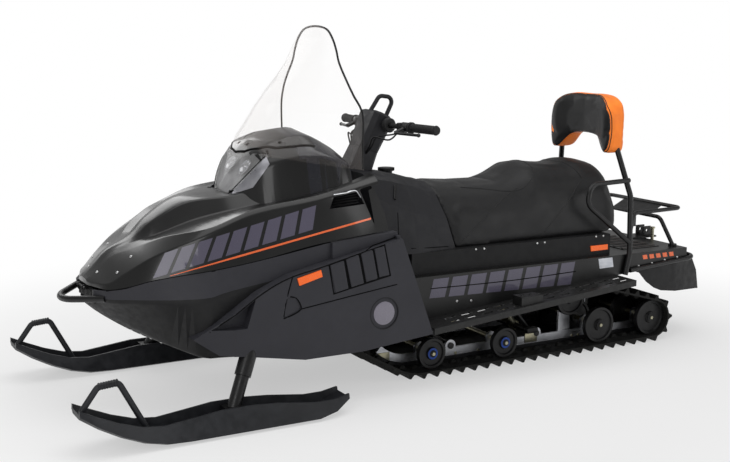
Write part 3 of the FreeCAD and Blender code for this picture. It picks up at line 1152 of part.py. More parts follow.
# Backrest, its frame and the passenger's side handles
UPRIGHT_PATH = [(-1003.0, FRAME_FOOT_Y, 346.0), (-1024.0, FRAME_FOOT_Y, 440.0), (-1086.0, 256.0, 688.0),
                (-1046.0, 196.0, 900.0), (-1046.0, 186.0, 1010.0)]
upright = tube(UPRIGHT_PATH, FRAME_TUBE_RADIUS, UPRIGHT_BEND)
around_upright = tube(UPRIGHT_PATH, FRAME_TUBE_RADIUS + RUNNING_GAP, UPRIGHT_BEND)
cross_tube = cylinder_y(FRAME_TUBE_RADIUS - 1.5, CROSS_TUBE_X, CROSS_TUBE_Z, -CROSS_TUBE_HALF,
                        CROSS_TUBE_HALF)
frame = fused([upright, mirrored(upright), cross_tube])
write("backrest_frame", frame)


def rounded_prism(points, way):
    """Solid of a smooth closed outline through points, carried along a direction."""
    curve = Part.BSplineCurve()
    curve.interpolate(points, True)
    return Part.Face(Part.Wire([curve.toShape()])).extrude(way)


# Backrest pad: what its front, plan and side outlines have in common
PAD_FRONT_HALF = [(0.0, PAD_TOP_Z), (95.0, PAD_TOP_Z - 1.0), (150.0, PAD_TOP_Z - 13.0),
                  (192.0, PAD_TOP_Z - 44.0), (217.0, PAD_TOP_Z - 90.0),
                  (PAD_HALF_SPAN, PAD_TOP_Z - 140.0), (220.0, PAD_TOP_Z - 200.0),
                  (208.0, PAD_BOTTOM_Z + 18.0), (186.0, PAD_BOTTOM_Z), (160.0, PAD_BOTTOM_Z + 10.0),
                  (128.0, PAD_BOTTOM_Z + 46.0), (96.0, PAD_BOTTOM_Z + 70.0), (50.0, PAD_BOTTOM_Z + 79.0),
                  (0.0, PAD_BOTTOM_Z + 80.0)]
PAD_PLAN_HALF = [(PAD_FRONT_X - 42.0, 0.0), (PAD_FRONT_X - 38.0, 90.0), (PAD_FRONT_X - 16.0, 150.0),
                 (PAD_FRONT_X, 188.0), (PAD_FRONT_X - 14.0, PAD_HALF_SPAN),
                 (PAD_REAR_X + 22.0, PAD_HALF_SPAN), (PAD_REAR_X, 180.0), (PAD_REAR_X, 90.0),
                 (PAD_REAR_X, 0.0)]
PAD_SIDE = [(PAD_FRONT_X, PAD_TOP_Z - 100.0), (PAD_FRONT_X - 8.0, PAD_TOP_Z - 28.0),
            (PAD_FRONT_X - 34.0, PAD_TOP_Z), (PAD_REAR_X + 38.0, PAD_TOP_Z),
            (PAD_REAR_X + 10.0, PAD_TOP_Z - 28.0), (PAD_REAR_X, PAD_TOP_Z - 100.0),
            (PAD_REAR_X + 6.0, PAD_BOTTOM_Z + 70.0), (PAD_REAR_X + 26.0, PAD_BOTTOM_Z + 22.0),
            (PAD_REAR_X + 55.0, PAD_BOTTOM_Z), (PAD_FRONT_X - 38.0, PAD_BOTTOM_Z + 8.0),
            (PAD_FRONT_X - 8.0, PAD_BOTTOM_Z + 70.0)]
front_points = [Vector(-1200.0, y, z) for y, z in PAD_FRONT_HALF]
front_points += [Vector(-1200.0, -y, z) for y, z in reversed(PAD_FRONT_HALF[1:-1])]
plan_points = [Vector(x, y, 800.0) for x, y in PAD_PLAN_HALF]
plan_points += [Vector(x, -y, 800.0) for x, y in reversed(PAD_PLAN_HALF[1:-1])]
side_points = [Vector(x, -300.0, z) for x, z in PAD_SIDE]
backrest = rounded_prism(front_points, Vector(400.0, 0, 0))
backrest = backrest.common(rounded_prism(plan_points, Vector(0, 0, 500.0)))
backrest = backrest.common(rounded_prism(side_points, Vector(0, 600.0, 0)))
backrest = backrest.cut(frame)
backrest = largest(backrest)
write("backrest_pad", backrest)

handle = tube([(-1068.0, 262.0, 762.0), (-842.0, 272.0, 757.0), (-812.0, 282.0, 672.0),
               (-1036.0, TUNNEL_HALF_WIDTH, 486.0)], HANDLE_TUBE_RADIUS, 52.0)
handle = handle.cut(around_upright)
handle = largest(handle)
write("grab_handles", pair(handle))

# Rack over the rear deck, with the hoop that carries it and the panel for the tail lamp
rack_side = [(-1064.0, 286.0, 520.0), (-1112.0, 256.0, RACK_Z - 4.0), (RACK_REAR_X, 250.0, RACK_Z)]
rack_path = rack_side + [(x, -y, z) for x, y, z in reversed(rack_side)]
rack = tube(rack_path, RACK_TUBE_RADIUS, RACK_BEND)
hoop_side = [(-1352.0, 262.0, TUNNEL_TOP_Z + 6.0), (-1318.0, 206.0, 568.0)]
hoop = tube(hoop_side + [(x, -y, z) for x, y, z in reversed(hoop_side)], RACK_TUBE_RADIUS, RACK_BEND)
lamp_panel = prism_xz([(-1316.0, 566.0), (-1310.0, 566.0), (-1400.0, RACK_Z - 2.0), (-1406.0, RACK_Z - 2.0)],
                      -LAMP_PANEL_HALF_WIDTH, LAMP_PANEL_HALF_WIDTH)
feet = [Part.makeCylinder(HOOP_FOOT_RADIUS, 10.0, Vector(hoop_side[0][0], side * hoop_side[0][1],
                                                         TUNNEL_TOP_Z)) for side in (-1, 1)]
rack = fused([rack, hoop, lamp_panel] + feet).cut(around_upright).cut(mirrored(around_upright))
rack = largest(rack)
write("rear_rack", rack)

# Rear bumper round the tunnel's end, snow flap and tow hitch
bumper_side = [(REAR_BUMPER_FOOT[0], REAR_BUMPER_Y, REAR_BUMPER_FOOT[1]),
               (REAR_BUMPER_X, REAR_BUMPER_Y, REAR_BUMPER_Z)]
rear_bumper = tube(bumper_side + [(x, -y, z) for x, y, z in reversed(bumper_side)], BUMPER_TUBE_RADIUS,
                   REAR_BUMPER_BEND)
sheet_outline = [(FLAP_BEND_X, 432.0), (-1392.0, 424.0), (-1462.0, 384.0), (-1516.0, 306.0),
                 (FLAP_TIP_X, 214.0), (-1534.0, 213.0), (-1510.0, 304.0), (-1458.0, 379.0), (-1390.0, 418.0),
                 (FLAP_BEND_X, 426.0)]
wing_front = [(-1096.0, 352.0), (-1150.0, 296.0), (-1200.0, 262.0), (-1240.0, 246.0), (FLAP_BEND_X, 234.0),
              (FLAP_BEND_X, 372.0)]
wing_rear = [(FLAP_BEND_X, 234.0), (-1536.0, 214.0), (-1512.0, 304.0), (-1460.0, 380.0), (-1391.0, 420.0),
             (FLAP_BEND_X, 429.0)]


def flap_half_width(x):
    """Half width of the flap, drawn in behind its bend."""
    share = max(0.0, (FLAP_BEND_X - x) / (FLAP_BEND_X - FLAP_TIP_X))
    return FLAP_HALF_WIDTH + (FLAP_TIP_HALF_WIDTH - FLAP_HALF_WIDTH) * share


def flap_wing():
    """Left side wall of the flap: upright ahead of the bend, turned in behind it."""
    front = prism_xz(wing_front, FLAP_HALF_WIDTH - FLAP_WALL, FLAP_HALF_WIDTH)
    corners = [Vector(x, flap_half_width(x), z) for x, z in wing_rear]
    rear = Part.Face(Part.makePolygon(corners + corners[:1])).extrude(Vector(0, -FLAP_WALL, 0))
    return front.fuse(rear)


beyond_tip = FLAP_TIP_X - 10.0
half_plan = [(FLAP_BEND_X + 30.0, FLAP_HALF_WIDTH), (FLAP_BEND_X, FLAP_HALF_WIDTH),
             (beyond_tip, flap_half_width(beyond_tip))]
plan = half_plan + [(x, -y) for x, y in reversed(half_plan)]
sheet = prism_xz(sheet_outline, -FLAP_HALF_WIDTH, FLAP_HALF_WIDTH).common(prism_xy(plan, 0.0, 600.0))
wing = flap_wing()
flap = fused([sheet, wing, mirrored(wing)])
flap = flap.cut(rear_bumper)
flap = largest(flap)
write("rear_bumper", rear_bumper)
write("snow_flap", flap)

hitch_plate = box(*HITCH_PLATE_X, -HITCH_PLATE_HALF_WIDTH, HITCH_PLATE_HALF_WIDTH, TUNNEL_TOP_Z,
                  HITCH_PLATE_TOP)
hitch_pieces = [hitch_plate]
for side in (-1, 1):
    low_y, high_y = sorted(side * y for y in HITCH_EAR_Y)
    hitch_pieces.append(box(HITCH_X - 24.0, HITCH_X + 24.0, low_y, high_y, HITCH_PLATE_TOP, HITCH_Z + 20.0))
hitch = fused(hitch_pieces).cut(cylinder_y(HITCH_PIN_RADIUS, HITCH_X, HITCH_Z, -60.0, 60.0))
write("tow_hitch", hitch)
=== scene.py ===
"""Looks of a wide-track utility snowmobile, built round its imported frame."""

import json
import logging
import math
from collections.abc import Callable, Sequence
from dataclasses import dataclass, field
from enum import Enum

import bmesh
import bpy
from mathutils import Matrix, Vector
from mathutils.bvhtree import BVHTree

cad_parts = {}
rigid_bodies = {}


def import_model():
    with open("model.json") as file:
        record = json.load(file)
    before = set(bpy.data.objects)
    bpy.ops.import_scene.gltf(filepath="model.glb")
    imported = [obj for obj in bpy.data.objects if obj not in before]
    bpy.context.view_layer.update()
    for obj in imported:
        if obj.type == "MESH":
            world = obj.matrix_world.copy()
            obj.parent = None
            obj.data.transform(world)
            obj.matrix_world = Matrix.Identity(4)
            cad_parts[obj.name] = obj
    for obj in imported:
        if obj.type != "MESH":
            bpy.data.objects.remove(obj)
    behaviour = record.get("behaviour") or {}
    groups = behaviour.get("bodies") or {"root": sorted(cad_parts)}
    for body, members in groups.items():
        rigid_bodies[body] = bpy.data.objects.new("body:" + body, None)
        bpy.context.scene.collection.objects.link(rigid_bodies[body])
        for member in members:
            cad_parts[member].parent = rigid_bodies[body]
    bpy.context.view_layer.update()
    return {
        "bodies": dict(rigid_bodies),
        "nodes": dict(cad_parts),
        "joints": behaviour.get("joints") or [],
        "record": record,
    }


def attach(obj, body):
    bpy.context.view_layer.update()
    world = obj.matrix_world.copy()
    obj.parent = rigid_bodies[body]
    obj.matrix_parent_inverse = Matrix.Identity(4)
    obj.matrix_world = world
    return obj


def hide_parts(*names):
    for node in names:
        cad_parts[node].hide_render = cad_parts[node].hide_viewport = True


LOG = logging.getLogger("snowmobile")
MM = 0.001
Point = tuple[float, float, float]
Flat = tuple[float, float]
Colour = tuple[float, float, float]
Line = Sequence[Flat]
Path = Sequence[Point]
Spot = tuple[Vector, Vector]
Probe = Callable[[Flat], Spot | None]
Mesh = bpy.types.Mesh
Object = bpy.types.Object
Socket = bpy.types.NodeSocket
SIDES = (1, -1)
UP = Vector((0, 0, 1))


def paint(red: int, green: int, blue: int) -> Colour:
    """Turn a display colour into the linear one that the shaders take.

    Args:
        red: Red, 0 to 255.
        green: Green, 0 to 255.
        blue: Blue, 0 to 255.

    Returns:
        The colour in linear light.
    """
    return tuple(
        c / 12.92 if c <= 0.04045 else ((c + 0.055) / 1.055) ** 2.4
        for c in (red / 255, green / 255, blue / 255)
    )


def metres(point: Point) -> Vector:
    """Return a point that is written in millimetres as a vector in metres."""
    return Vector(point) * MM


def smooth_path(knots: Path, steps: int = 6, closed: bool = False) -> list[Vector]:
    """Run a smooth line through points, each span cut into the same number of steps.

    Args:
        knots: Points in millimetres.
        steps: Steps between one point and the next.
        closed: Whether the line returns to its start.

    Returns:
        Points along the line, in metres.
    """
    knots = [metres(knot) for knot in knots]
    count = len(knots)
    line = []
    for number in range(count if closed else count - 1):
        near = [knots[(number + k) % count] if closed else knots[min(max(number + k, 0), count - 1)]
                for k in (-1, 0, 1, 2)]
        for step in range(steps):
            t = step / steps
            line.append(0.5 * (2 * near[1] + (near[2] - near[0]) * t
                               + (2 * near[0] - 5 * near[1] + 4 * near[2] - near[3]) * t ** 2
                               + (3 * near[1] - near[0] - 3 * near[2] + near[3]) * t ** 3))
    return line if closed else line + [knots[-1]]


def points(spots: Sequence[Spot | None], lift: float = 0.0) -> list[Vector]:
    """Return the points of the places that were found, lifted off their surface, in metres."""
    return [point + normal * lift for point, normal in filter(None, spots)]


def linked(made: Object) -> Object:
    """Put an object into the scene and return it."""
    bpy.context.scene.collection.objects.link(made)
    return made


def evaluated(made: Object) -> Mesh:
    """Return a plain mesh of an object as its modifiers leave it."""
    bpy.context.view_layer.update()
    return bpy.data.meshes.new_from_object(made.evaluated_get(bpy.context.evaluated_depsgraph_get()))


class Graph:
    """Node tree of one material, with short calls for the nodes that the finishes share."""

    def __init__(self, name: str) -> None:
        """Start a material with one shader and Object coordinates."""
        self.material = bpy.data.materials.new(name)
        self.material.use_nodes = True
        self.tree = self.material.node_tree
        self.tree.nodes.clear()
        self.shader = self.add("ShaderNodeBsdfPrincipled")
        self.output = self.add("ShaderNodeOutputMaterial")
        self.link(self.shader.outputs["BSDF"], self.output.inputs["Surface"])
        self.coords = self.add("ShaderNodeTexCoord").outputs["Object"]

    def add(self, kind: str, **settings: object) -> bpy.types.Node:
        """Add a node and set its properties."""
        node = self.tree.nodes.new(kind)
        for key, value in settings.items():
            setattr(node, key, value)
        return node

    def link(self, source: Socket, target: Socket) -> None:
        """Join two sockets."""
        self.tree.links.new(source, target)

    def uniform(self, **values: object) -> None:
        """Set the shader's own sockets; an underscore in a name stands for a space."""
        for key, value in values.items():
            self.shader.inputs[key.replace("_", " ")].default_value = value

    def stretched(self, scale: Point) -> Socket:
        """Return Object coordinates scaled differently along each axis."""
        mapping = self.add("ShaderNodeMapping")
        mapping.inputs["Scale"].default_value = scale
        self.link(self.coords, mapping.inputs["Vector"])
        return mapping.outputs["Vector"]

    def noise(self, scale: float, detail: float = 3.0, source: Socket | None = None
              ) -> Socket:
        """Return a noise value over Object coordinates, or over the source given."""
        node = self.add("ShaderNodeTexNoise")
        node.inputs["Scale"].default_value = scale
        node.inputs["Detail"].default_value = detail
        self.link(source or self.coords, node.inputs["Vector"])
        return node.outputs["Fac"]

    def cells(self, scale: float, source: Socket | None = None) -> Socket:
        """Return the distance to the nearest cell point, which reads as leather or moulded grain."""
        node = self.add("ShaderNodeTexVoronoi")
        node.inputs["Scale"].default_value = scale
        self.link(source or self.coords, node.inputs["Vector"])
        return node.outputs["Distance"]

    def spread(self, value: Socket, low: float, high: float,
               start: float = 0.35, end: float = 0.65) -> Socket:
        """Map the middle part of a noise value to a range.

        Args:
            value: Value to map.
            low: Result at the start.
            high: Result at the end.
            start: Value that gives the low result.
            end: Value that gives the high result.

        Returns:
            The mapped value.
        """
        node = self.add("ShaderNodeMapRange")
        for key, number in (("From Min", start), ("From Max", end), ("To Min", low), ("To Max", high)):
            node.inputs[key].default_value = number
        self.link(value, node.inputs["Value"])
        return node.outputs["Result"]

    def mixed(self, factor: Socket, first: Colour | Socket,
              second: Colour | Socket) -> Socket:
        """Return a colour between two colours or colour sockets."""
        node = self.add("ShaderNodeMix", data_type="RGBA")
        self.link(factor, node.inputs[0])
        for socket, colour in ((node.inputs[6], first), (node.inputs[7], second)):
            if isinstance(colour, tuple):
                socket.default_value = (*colour, 1.0)
            else:
                self.link(colour, socket)
        return node.outputs[2]

    def maths(self, operation: str, first: Socket | float,
              second: Socket | float) -> Socket:
        """Return one arithmetic step on two values."""
        node = self.add("ShaderNodeMath", operation=operation)
        for socket, value in zip(node.inputs, (first, second)):
            if isinstance(value, (int, float)):
                socket.default_value = value
            else:
                self.link(value, socket)
        return node.outputs[0]

    def relief(self, height: Socket, distance: float, strength: float = 1.0,
               under: Socket | None = None) -> Socket:
        """Return a bumped normal, laid over another one where it is given."""
        node = self.add("ShaderNodeBump")
        node.inputs["Distance"].default_value = distance
        node.inputs["Strength"].default_value = strength
        self.link(height, node.inputs["Height"])
        if under is not None:
            self.link(under, node.inputs["Normal"])
        return node.outputs["Normal"]

    def face(self, colour: Socket | None = None, roughness: Socket | None = None,
             normal: Socket | None = None) -> None:
        """Join what varies over the surface to the shader."""
        for key, socket in (("Base Color", colour), ("Roughness", roughness), ("Normal", normal)):
            if socket is not None:
                self.link(socket, self.shader.inputs[key])


@dataclass(frozen=True)
class Finish:
    """A finish by name. Its material is made once, by whichever kind of finish it is."""

    name: str

    def dress(self, graph: Graph) -> None:
        """Fill the node tree."""
        raise NotImplementedError

    def material(self) -> bpy.types.Material:
        """Return the finish's material, made on first use."""
        label = f"{self.name}_finish"
        found = bpy.data.materials.get(label)
        if found is None:
            graph = Graph(label)
            self.dress(graph)
            found = graph.material
        return found


@dataclass(frozen=True)
class Moulded(Finish):
    """Moulded plastic or rubber: fine grain, uneven sheen and pale scuffs."""

    colour: Colour
    roughness: float = 0.5
    grain: float = 700.0
    depth: float = 0.00012
    scuffs: float = 0.25
    sheen: float = 0.0
    level: float = 0.35

    def dress(self, graph: Graph) -> None:
        """Fill the node tree."""
        broad = graph.noise(7, 4)
        scratch = graph.noise(34, 6)
        pale = tuple(min(1.0, c * (1.0 + 2.2 * self.scuffs) + 0.006 * self.scuffs) for c in self.colour)
        colour = graph.mixed(graph.spread(graph.maths("MULTIPLY", broad, scratch), 0.0, 1.0, 0.14, 0.42),
                             self.colour, pale)
        rough = graph.spread(scratch, self.roughness - 0.07, min(1.0, self.roughness + 0.09))
        normal = graph.relief(graph.cells(self.grain), self.depth)
        graph.face(colour, rough, graph.relief(broad, 0.0006, 0.3, normal))
        graph.uniform(Sheen_Weight=self.sheen, Specular_IOR_Level=self.level)


@dataclass(frozen=True)
class Lacquer(Finish):
    """Gloss paint under a clear coat, with a faint flow and dust in it."""

    colour: Colour
    coat_roughness: float = 0.04
    roughness: float = 0.28
    coat: float = 0.8
    flake_glint: float = 0.0

    def dress(self, graph: Graph) -> None:
        """Fill the node tree. Flake glint is how much lighter the specks of the metal flakes are painted: the
        flakes are real, their lighter colour is a painted glint.
        """
        dust = graph.noise(420, 2)
        haze = graph.noise(5, 4)
        pale = tuple(c * 1.6 + 0.003 for c in self.colour)
        colour = graph.mixed(graph.spread(dust, 0.0, 1.0, 0.62, 0.78), self.colour, pale)
        if self.flake_glint:
            # lighter specks: the metal flakes' glints painted into the base colour
            flakes = graph.noise(900, 1)
            bright = tuple(min(1.0, c + self.flake_glint * 0.3) for c in self.colour)
            colour = graph.mixed(graph.spread(flakes, 0.0, 1.0, 0.66, 0.8), colour, bright)
        rough = graph.spread(haze, self.roughness - 0.06, self.roughness + 0.08)
        graph.face(colour, rough, graph.relief(graph.noise(60, 2), 0.00012, 0.25))
        graph.uniform(Coat_Weight=self.coat, Coat_Roughness=self.coat_roughness, Specular_IOR_Level=0.3)


@dataclass(frozen=True)
class Metal(Finish):
    """Bare or plated metal with lines from rolling or turning and a patchy tone."""

    colour: Colour
    tint: Colour
    roughness: float = 0.3
    lines: Point = (6, 260, 260)

    def dress(self, graph: Graph) -> None:
        """Fill the node tree."""
        brushed = graph.noise(1.0, 5.0, graph.stretched(self.lines))
        patch = graph.noise(24, 4)
        colour = graph.mixed(graph.spread(patch, 0.0, 1.0), self.colour, self.tint)
        rough = graph.spread(brushed, self.roughness - 0.08, self.roughness + 0.14, 0.3, 0.7)
        graph.face(colour, rough, graph.relief(brushed, 0.0002, 0.5))
        graph.uniform(Metallic=1.0)


@dataclass(frozen=True)
class PowderCoat(Finish):
    """Satin black coat on steel tube and sheet: orange peel and worn, paler high spots."""

    colour: Colour
    roughness: float = 0.38
    worn: Colour = (0.05, 0.05, 0.052)

    def dress(self, graph: Graph) -> None:
        """Fill the node tree."""
        peel = graph.noise(520, 2)
        wear = graph.noise(40, 6)
        colour = graph.mixed(graph.spread(wear, 0.0, 0.8, 0.66, 0.8), self.colour, self.worn)
        rough = graph.spread(wear, self.roughness - 0.06, self.roughness + 0.12)
        graph.face(colour, rough, graph.relief(peel, 0.00025, 0.5))
        graph.uniform(Specular_IOR_Level=0.4, Coat_Weight=0.1, Coat_Roughness=0.25)


@dataclass(frozen=True)
class Vinyl(Finish):
    """Coated seat fabric: pebbled grain, soft folds and a slight sheen."""

    colour: Colour
    roughness: float = 0.46
    grain: float = 480.0

    def dress(self, graph: Graph) -> None:
        """Fill the node tree."""
        pebble = graph.cells(self.grain, graph.stretched((1, 1, 1.25)))
        crease = graph.noise(16, 5)
        # paler where the crease noise is high, which is where the fold relief rises
        raised_tone = tuple(c * 1.5 + 0.002 for c in self.colour)
        colour = graph.mixed(graph.spread(crease, 0.0, 1.0, 0.3, 0.75), self.colour, raised_tone)
        rough = graph.spread(crease, self.roughness - 0.05, self.roughness + 0.1)
        fold = graph.relief(crease, 0.0016, 0.25)
        graph.face(colour, rough, graph.relief(pebble, 0.0003, 0.6, fold))
        graph.uniform(Sheen_Weight=0.06, Sheen_Roughness=0.4, Specular_IOR_Level=0.34)


@dataclass(frozen=True)
class Clear(Finish):
    """Clear or smoked sheet: nearly see-through face on, showing more of its colour as the view grazes; that
    colour at grazing angles is a painted reflection.
    """

    colour: Colour
    face_on: float
    edge_on: float
    roughness: float = 0.04

    def dress(self, graph: Graph) -> None:
        """Fill the node tree."""
        weight = graph.add("ShaderNodeLayerWeight")
        weight.inputs["Blend"].default_value = 0.35
        haze = graph.noise(9, 5)
        scratch = graph.noise(1.0, 6.0, graph.stretched((30, 30, 240)))
        # alpha rises as the view grazes, so the sheet's colour shows there as a painted reflection
        alpha = graph.spread(weight.outputs["Facing"], self.face_on, self.edge_on, 0.0, 0.9)
        alpha = graph.maths("MULTIPLY", alpha, graph.spread(haze, 0.92, 1.08))
        pale = tuple(min(1.0, c * 1.1 + 0.01) for c in self.colour)
        graph.link(alpha, graph.shader.inputs["Alpha"])
        graph.face(graph.mixed(graph.spread(haze, 0.0, 1.0), self.colour, pale),
                   graph.spread(scratch, self.roughness, self.roughness + 0.05))
        graph.uniform(Specular_IOR_Level=0.5)


@dataclass(frozen=True)
class Reflex(Finish):
    """Moulded reflector: rows of small prisms under a smooth face, glowing by emission in its own colour. On
    the amber reflectors, which are no lamps, this glow is painted light.
    """

    colour: Colour
    glow: float = 0.25
    pitch: float = 260.0

    def dress(self, graph: Graph) -> None:
        """Fill the node tree."""
        prisms = graph.cells(self.pitch)
        dark = tuple(c * 0.72 for c in self.colour)
        graph.face(graph.mixed(graph.spread(prisms, 0.0, 1.0, 0.2, 0.6), self.colour, dark),
                   graph.spread(prisms, 0.15, 0.3, 0.1, 0.7), graph.relief(prisms, 0.0008, 0.4))
        graph.uniform(Coat_Weight=0.3, Coat_Roughness=0.1, Emission_Color=(*self.colour, 1.0),
                      Emission_Strength=self.glow)


CHARCOAL = Moulded("charcoal_plastic", paint(33, 33, 36), 0.52, 620.0, 0.00014, 0.1, level=0.28)
PANEL_GREY = Moulded("side_panel_plastic", paint(52, 52, 57), 0.5, 620.0, 0.00014, 0.1, level=0.28)
PAN_BLACK = Moulded("pan_plastic", paint(27, 27, 28), 0.5, 620.0, 0.00012, 0.1, level=0.28)
DARK_PLASTIC = Moulded("dark_plastic", paint(20, 20, 21), 0.45, 620.0, 0.0001, 0.1, level=0.3)
PANEL_BLACK = Moulded("base_panel", paint(22, 22, 23), 0.5, 700.0, 0.0001, 0.1, level=0.25)
SKI_PLASTIC = Moulded("ski_plastic", paint(34, 35, 38), 0.44, 300.0, 0.00016, 0.3, level=0.35)
TRACK_RUBBER = Moulded("track_rubber", paint(19, 19, 18), 0.7, 260.0, 0.0005, 0.5, level=0.25)
WHEEL_BLACK = Moulded("wheel_black", paint(18, 18, 19), 0.42, 400.0, 0.0002, 0.2, level=0.35)
SLIDER = Moulded("slider_plastic", paint(24, 24, 26), 0.45, 300.0, 0.0002, 0.5)
GRIP = Moulded("grip_rubber", paint(22, 22, 23), 0.62, 240.0, 0.0006, 0.25, 0.1, level=0.3)
CORD = Moulded("cable_sheath", paint(14, 14, 15), 0.45, 500.0, 0.0001, 0.2)
# near-black painted shade, laid in gaps, joints, seams, slots, grooves and folds, behind openings and under the
# brow; the brow screws also take it as their dark colour
GROOVE = Moulded("groove_shadow", paint(9, 9, 10), 0.7, 700.0, 0.0001, 0.05, level=0.1)
GLOSS = Lacquer("gloss_black", paint(11, 11, 11), 0.14, 0.34, coat=0.5)
# its metal flakes carry a painted glint as lighter specks
POD = Lacquer("blue_black_metallic", paint(9, 11, 24), 0.04, 0.3, flake_glint=0.5)
SATIN = Lacquer("tunnel_paint", paint(19, 19, 19), 0.3, 0.42, coat=0.35)
SHEET = PowderCoat("board_sheet", paint(22, 22, 22), 0.46)
DECK = PowderCoat("deck_sheet", paint(62, 56, 53), 0.5)
STEEL = PowderCoat("black_steel", paint(17, 17, 18), 0.34)
ALUMINIUM = Metal("bare_aluminium", (0.62, 0.63, 0.66), (0.46, 0.47, 0.5), 0.34)
TURNED = Metal("turned_aluminium", (0.72, 0.72, 0.72), (0.55, 0.55, 0.55), 0.28, (220, 220, 220))
ZINC = Metal("zinc_steel", paint(186, 180, 152), paint(158, 156, 138), 0.36, (90, 90, 90))
CHROME = Metal("chrome", (0.85, 0.86, 0.88), (0.78, 0.8, 0.84), 0.12, (40, 40, 40))
SILVER = Metal("silver_trim", (0.44, 0.44, 0.47), (0.36, 0.36, 0.39), 0.34, (30, 30, 30))
ENGINE = Metal("engine_alloy", (0.3, 0.3, 0.31), (0.18, 0.18, 0.18), 0.5, (40, 40, 40))
SEAT = Vinyl("seat_vinyl", paint(20, 20, 21))
PIPING = Vinyl("seam_cord", paint(12, 12, 13), 0.5)
BACK = Vinyl("backrest_vinyl", paint(20, 20, 21), 0.42, 520.0)
ORANGE = Vinyl("orange_vinyl", paint(255, 134, 44), 0.5, 520.0)
# pale warm colour of the clear windshield: painted reflection of the bright studio, shown as the view grazes
SCREEN = Clear("screen", paint(226, 214, 206), 0.015, 0.12)
SMOKED = Lacquer("smoked_brow", paint(24, 24, 24), 0.08, 0.25, coat=0.5)
# mid grey of the clear lens: painted reflection of the bright studio, denser as the view grazes
LENS = Clear("lamp_lens", (0.5, 0.5, 0.5), 0.14, 0.4)
HOUSING = Metal("lamp_housing", (0.3, 0.3, 0.31), (0.2, 0.2, 0.21), 0.4, (60, 60, 60))
BOWL = Metal("reflector", (0.86, 0.86, 0.88), (0.7, 0.7, 0.74), 0.1, (60, 60, 60))
# the amber reflectors glow though they are no lamps: painted light for the light their prisms send back
AMBER = Reflex("amber_reflector", paint(255, 104, 0), 0.3)
VIOLET = Lacquer("violet_grey_film", paint(84, 80, 98), 0.06, 0.35)
STRIPE = Lacquer("orange_stripe", paint(250, 112, 56), 0.06, 0.35)
DISC = Lacquer("grey_violet_disc", paint(128, 124, 136), 0.2, 0.4)
BLUE = Moulded("seal_blue", paint(26, 62, 140), 0.4, 300.0, 0.0001, 0.2)
TAIL_RED = Reflex("tail_red", paint(150, 16, 14), 0.05)
PLATE = Metal("blank_plate", (0.62, 0.63, 0.66), (0.5, 0.52, 0.56), 0.34, (12, 300, 300))

NODE_FINISHES: dict[str, Finish] = {name: finish for finish, names in (
    (TRACK_RUBBER, "track_belt"), (WHEEL_BLACK, "small_wheels large_wheels drive_sprockets"),
    (ALUMINIUM, "slide_rails"), (SLIDER, "rail_sliders"), (ZINC, "wheel_axles dampers"),
    (STEEL, "front_arm rear_arm strut_sleeves front_subframe front_bumper handlebar hand_levers "
            "left_spindle right_spindle backrest_frame grab_handles rear_rack rear_bumper tow_hitch"),
    (SATIN, "tunnel"), (SHEET, "left_running_board right_running_board"), (PAN_BLACK, "belly_pan snow_flap"),
    (PANEL_GREY, "left_side_panel right_side_panel"), (GLOSS, "hood_shell"), (LENS, "headlight_lens"),
    (HOUSING, "headlight_housing"), (SCREEN, "windshield"), (ENGINE, "engine_block"),
    (DARK_PLASTIC, "nose_grille fuel_cap"), (SEAT, "seat_cushion"), (PANEL_BLACK, "seat_base"),
    (CHARCOAL, "console_cover fuel_tank handlebar_pad"), (GRIP, "grips"), (SKI_PLASTIC, "left_ski right_ski"),
    (BACK, "backrest_pad")) for name in names.split()}


def dressed(mesh: Mesh, *finishes: Finish) -> None:
    """Give a mesh its materials."""
    mesh.materials.clear()
    for finish in finishes:
        mesh.materials.append(finish.material())


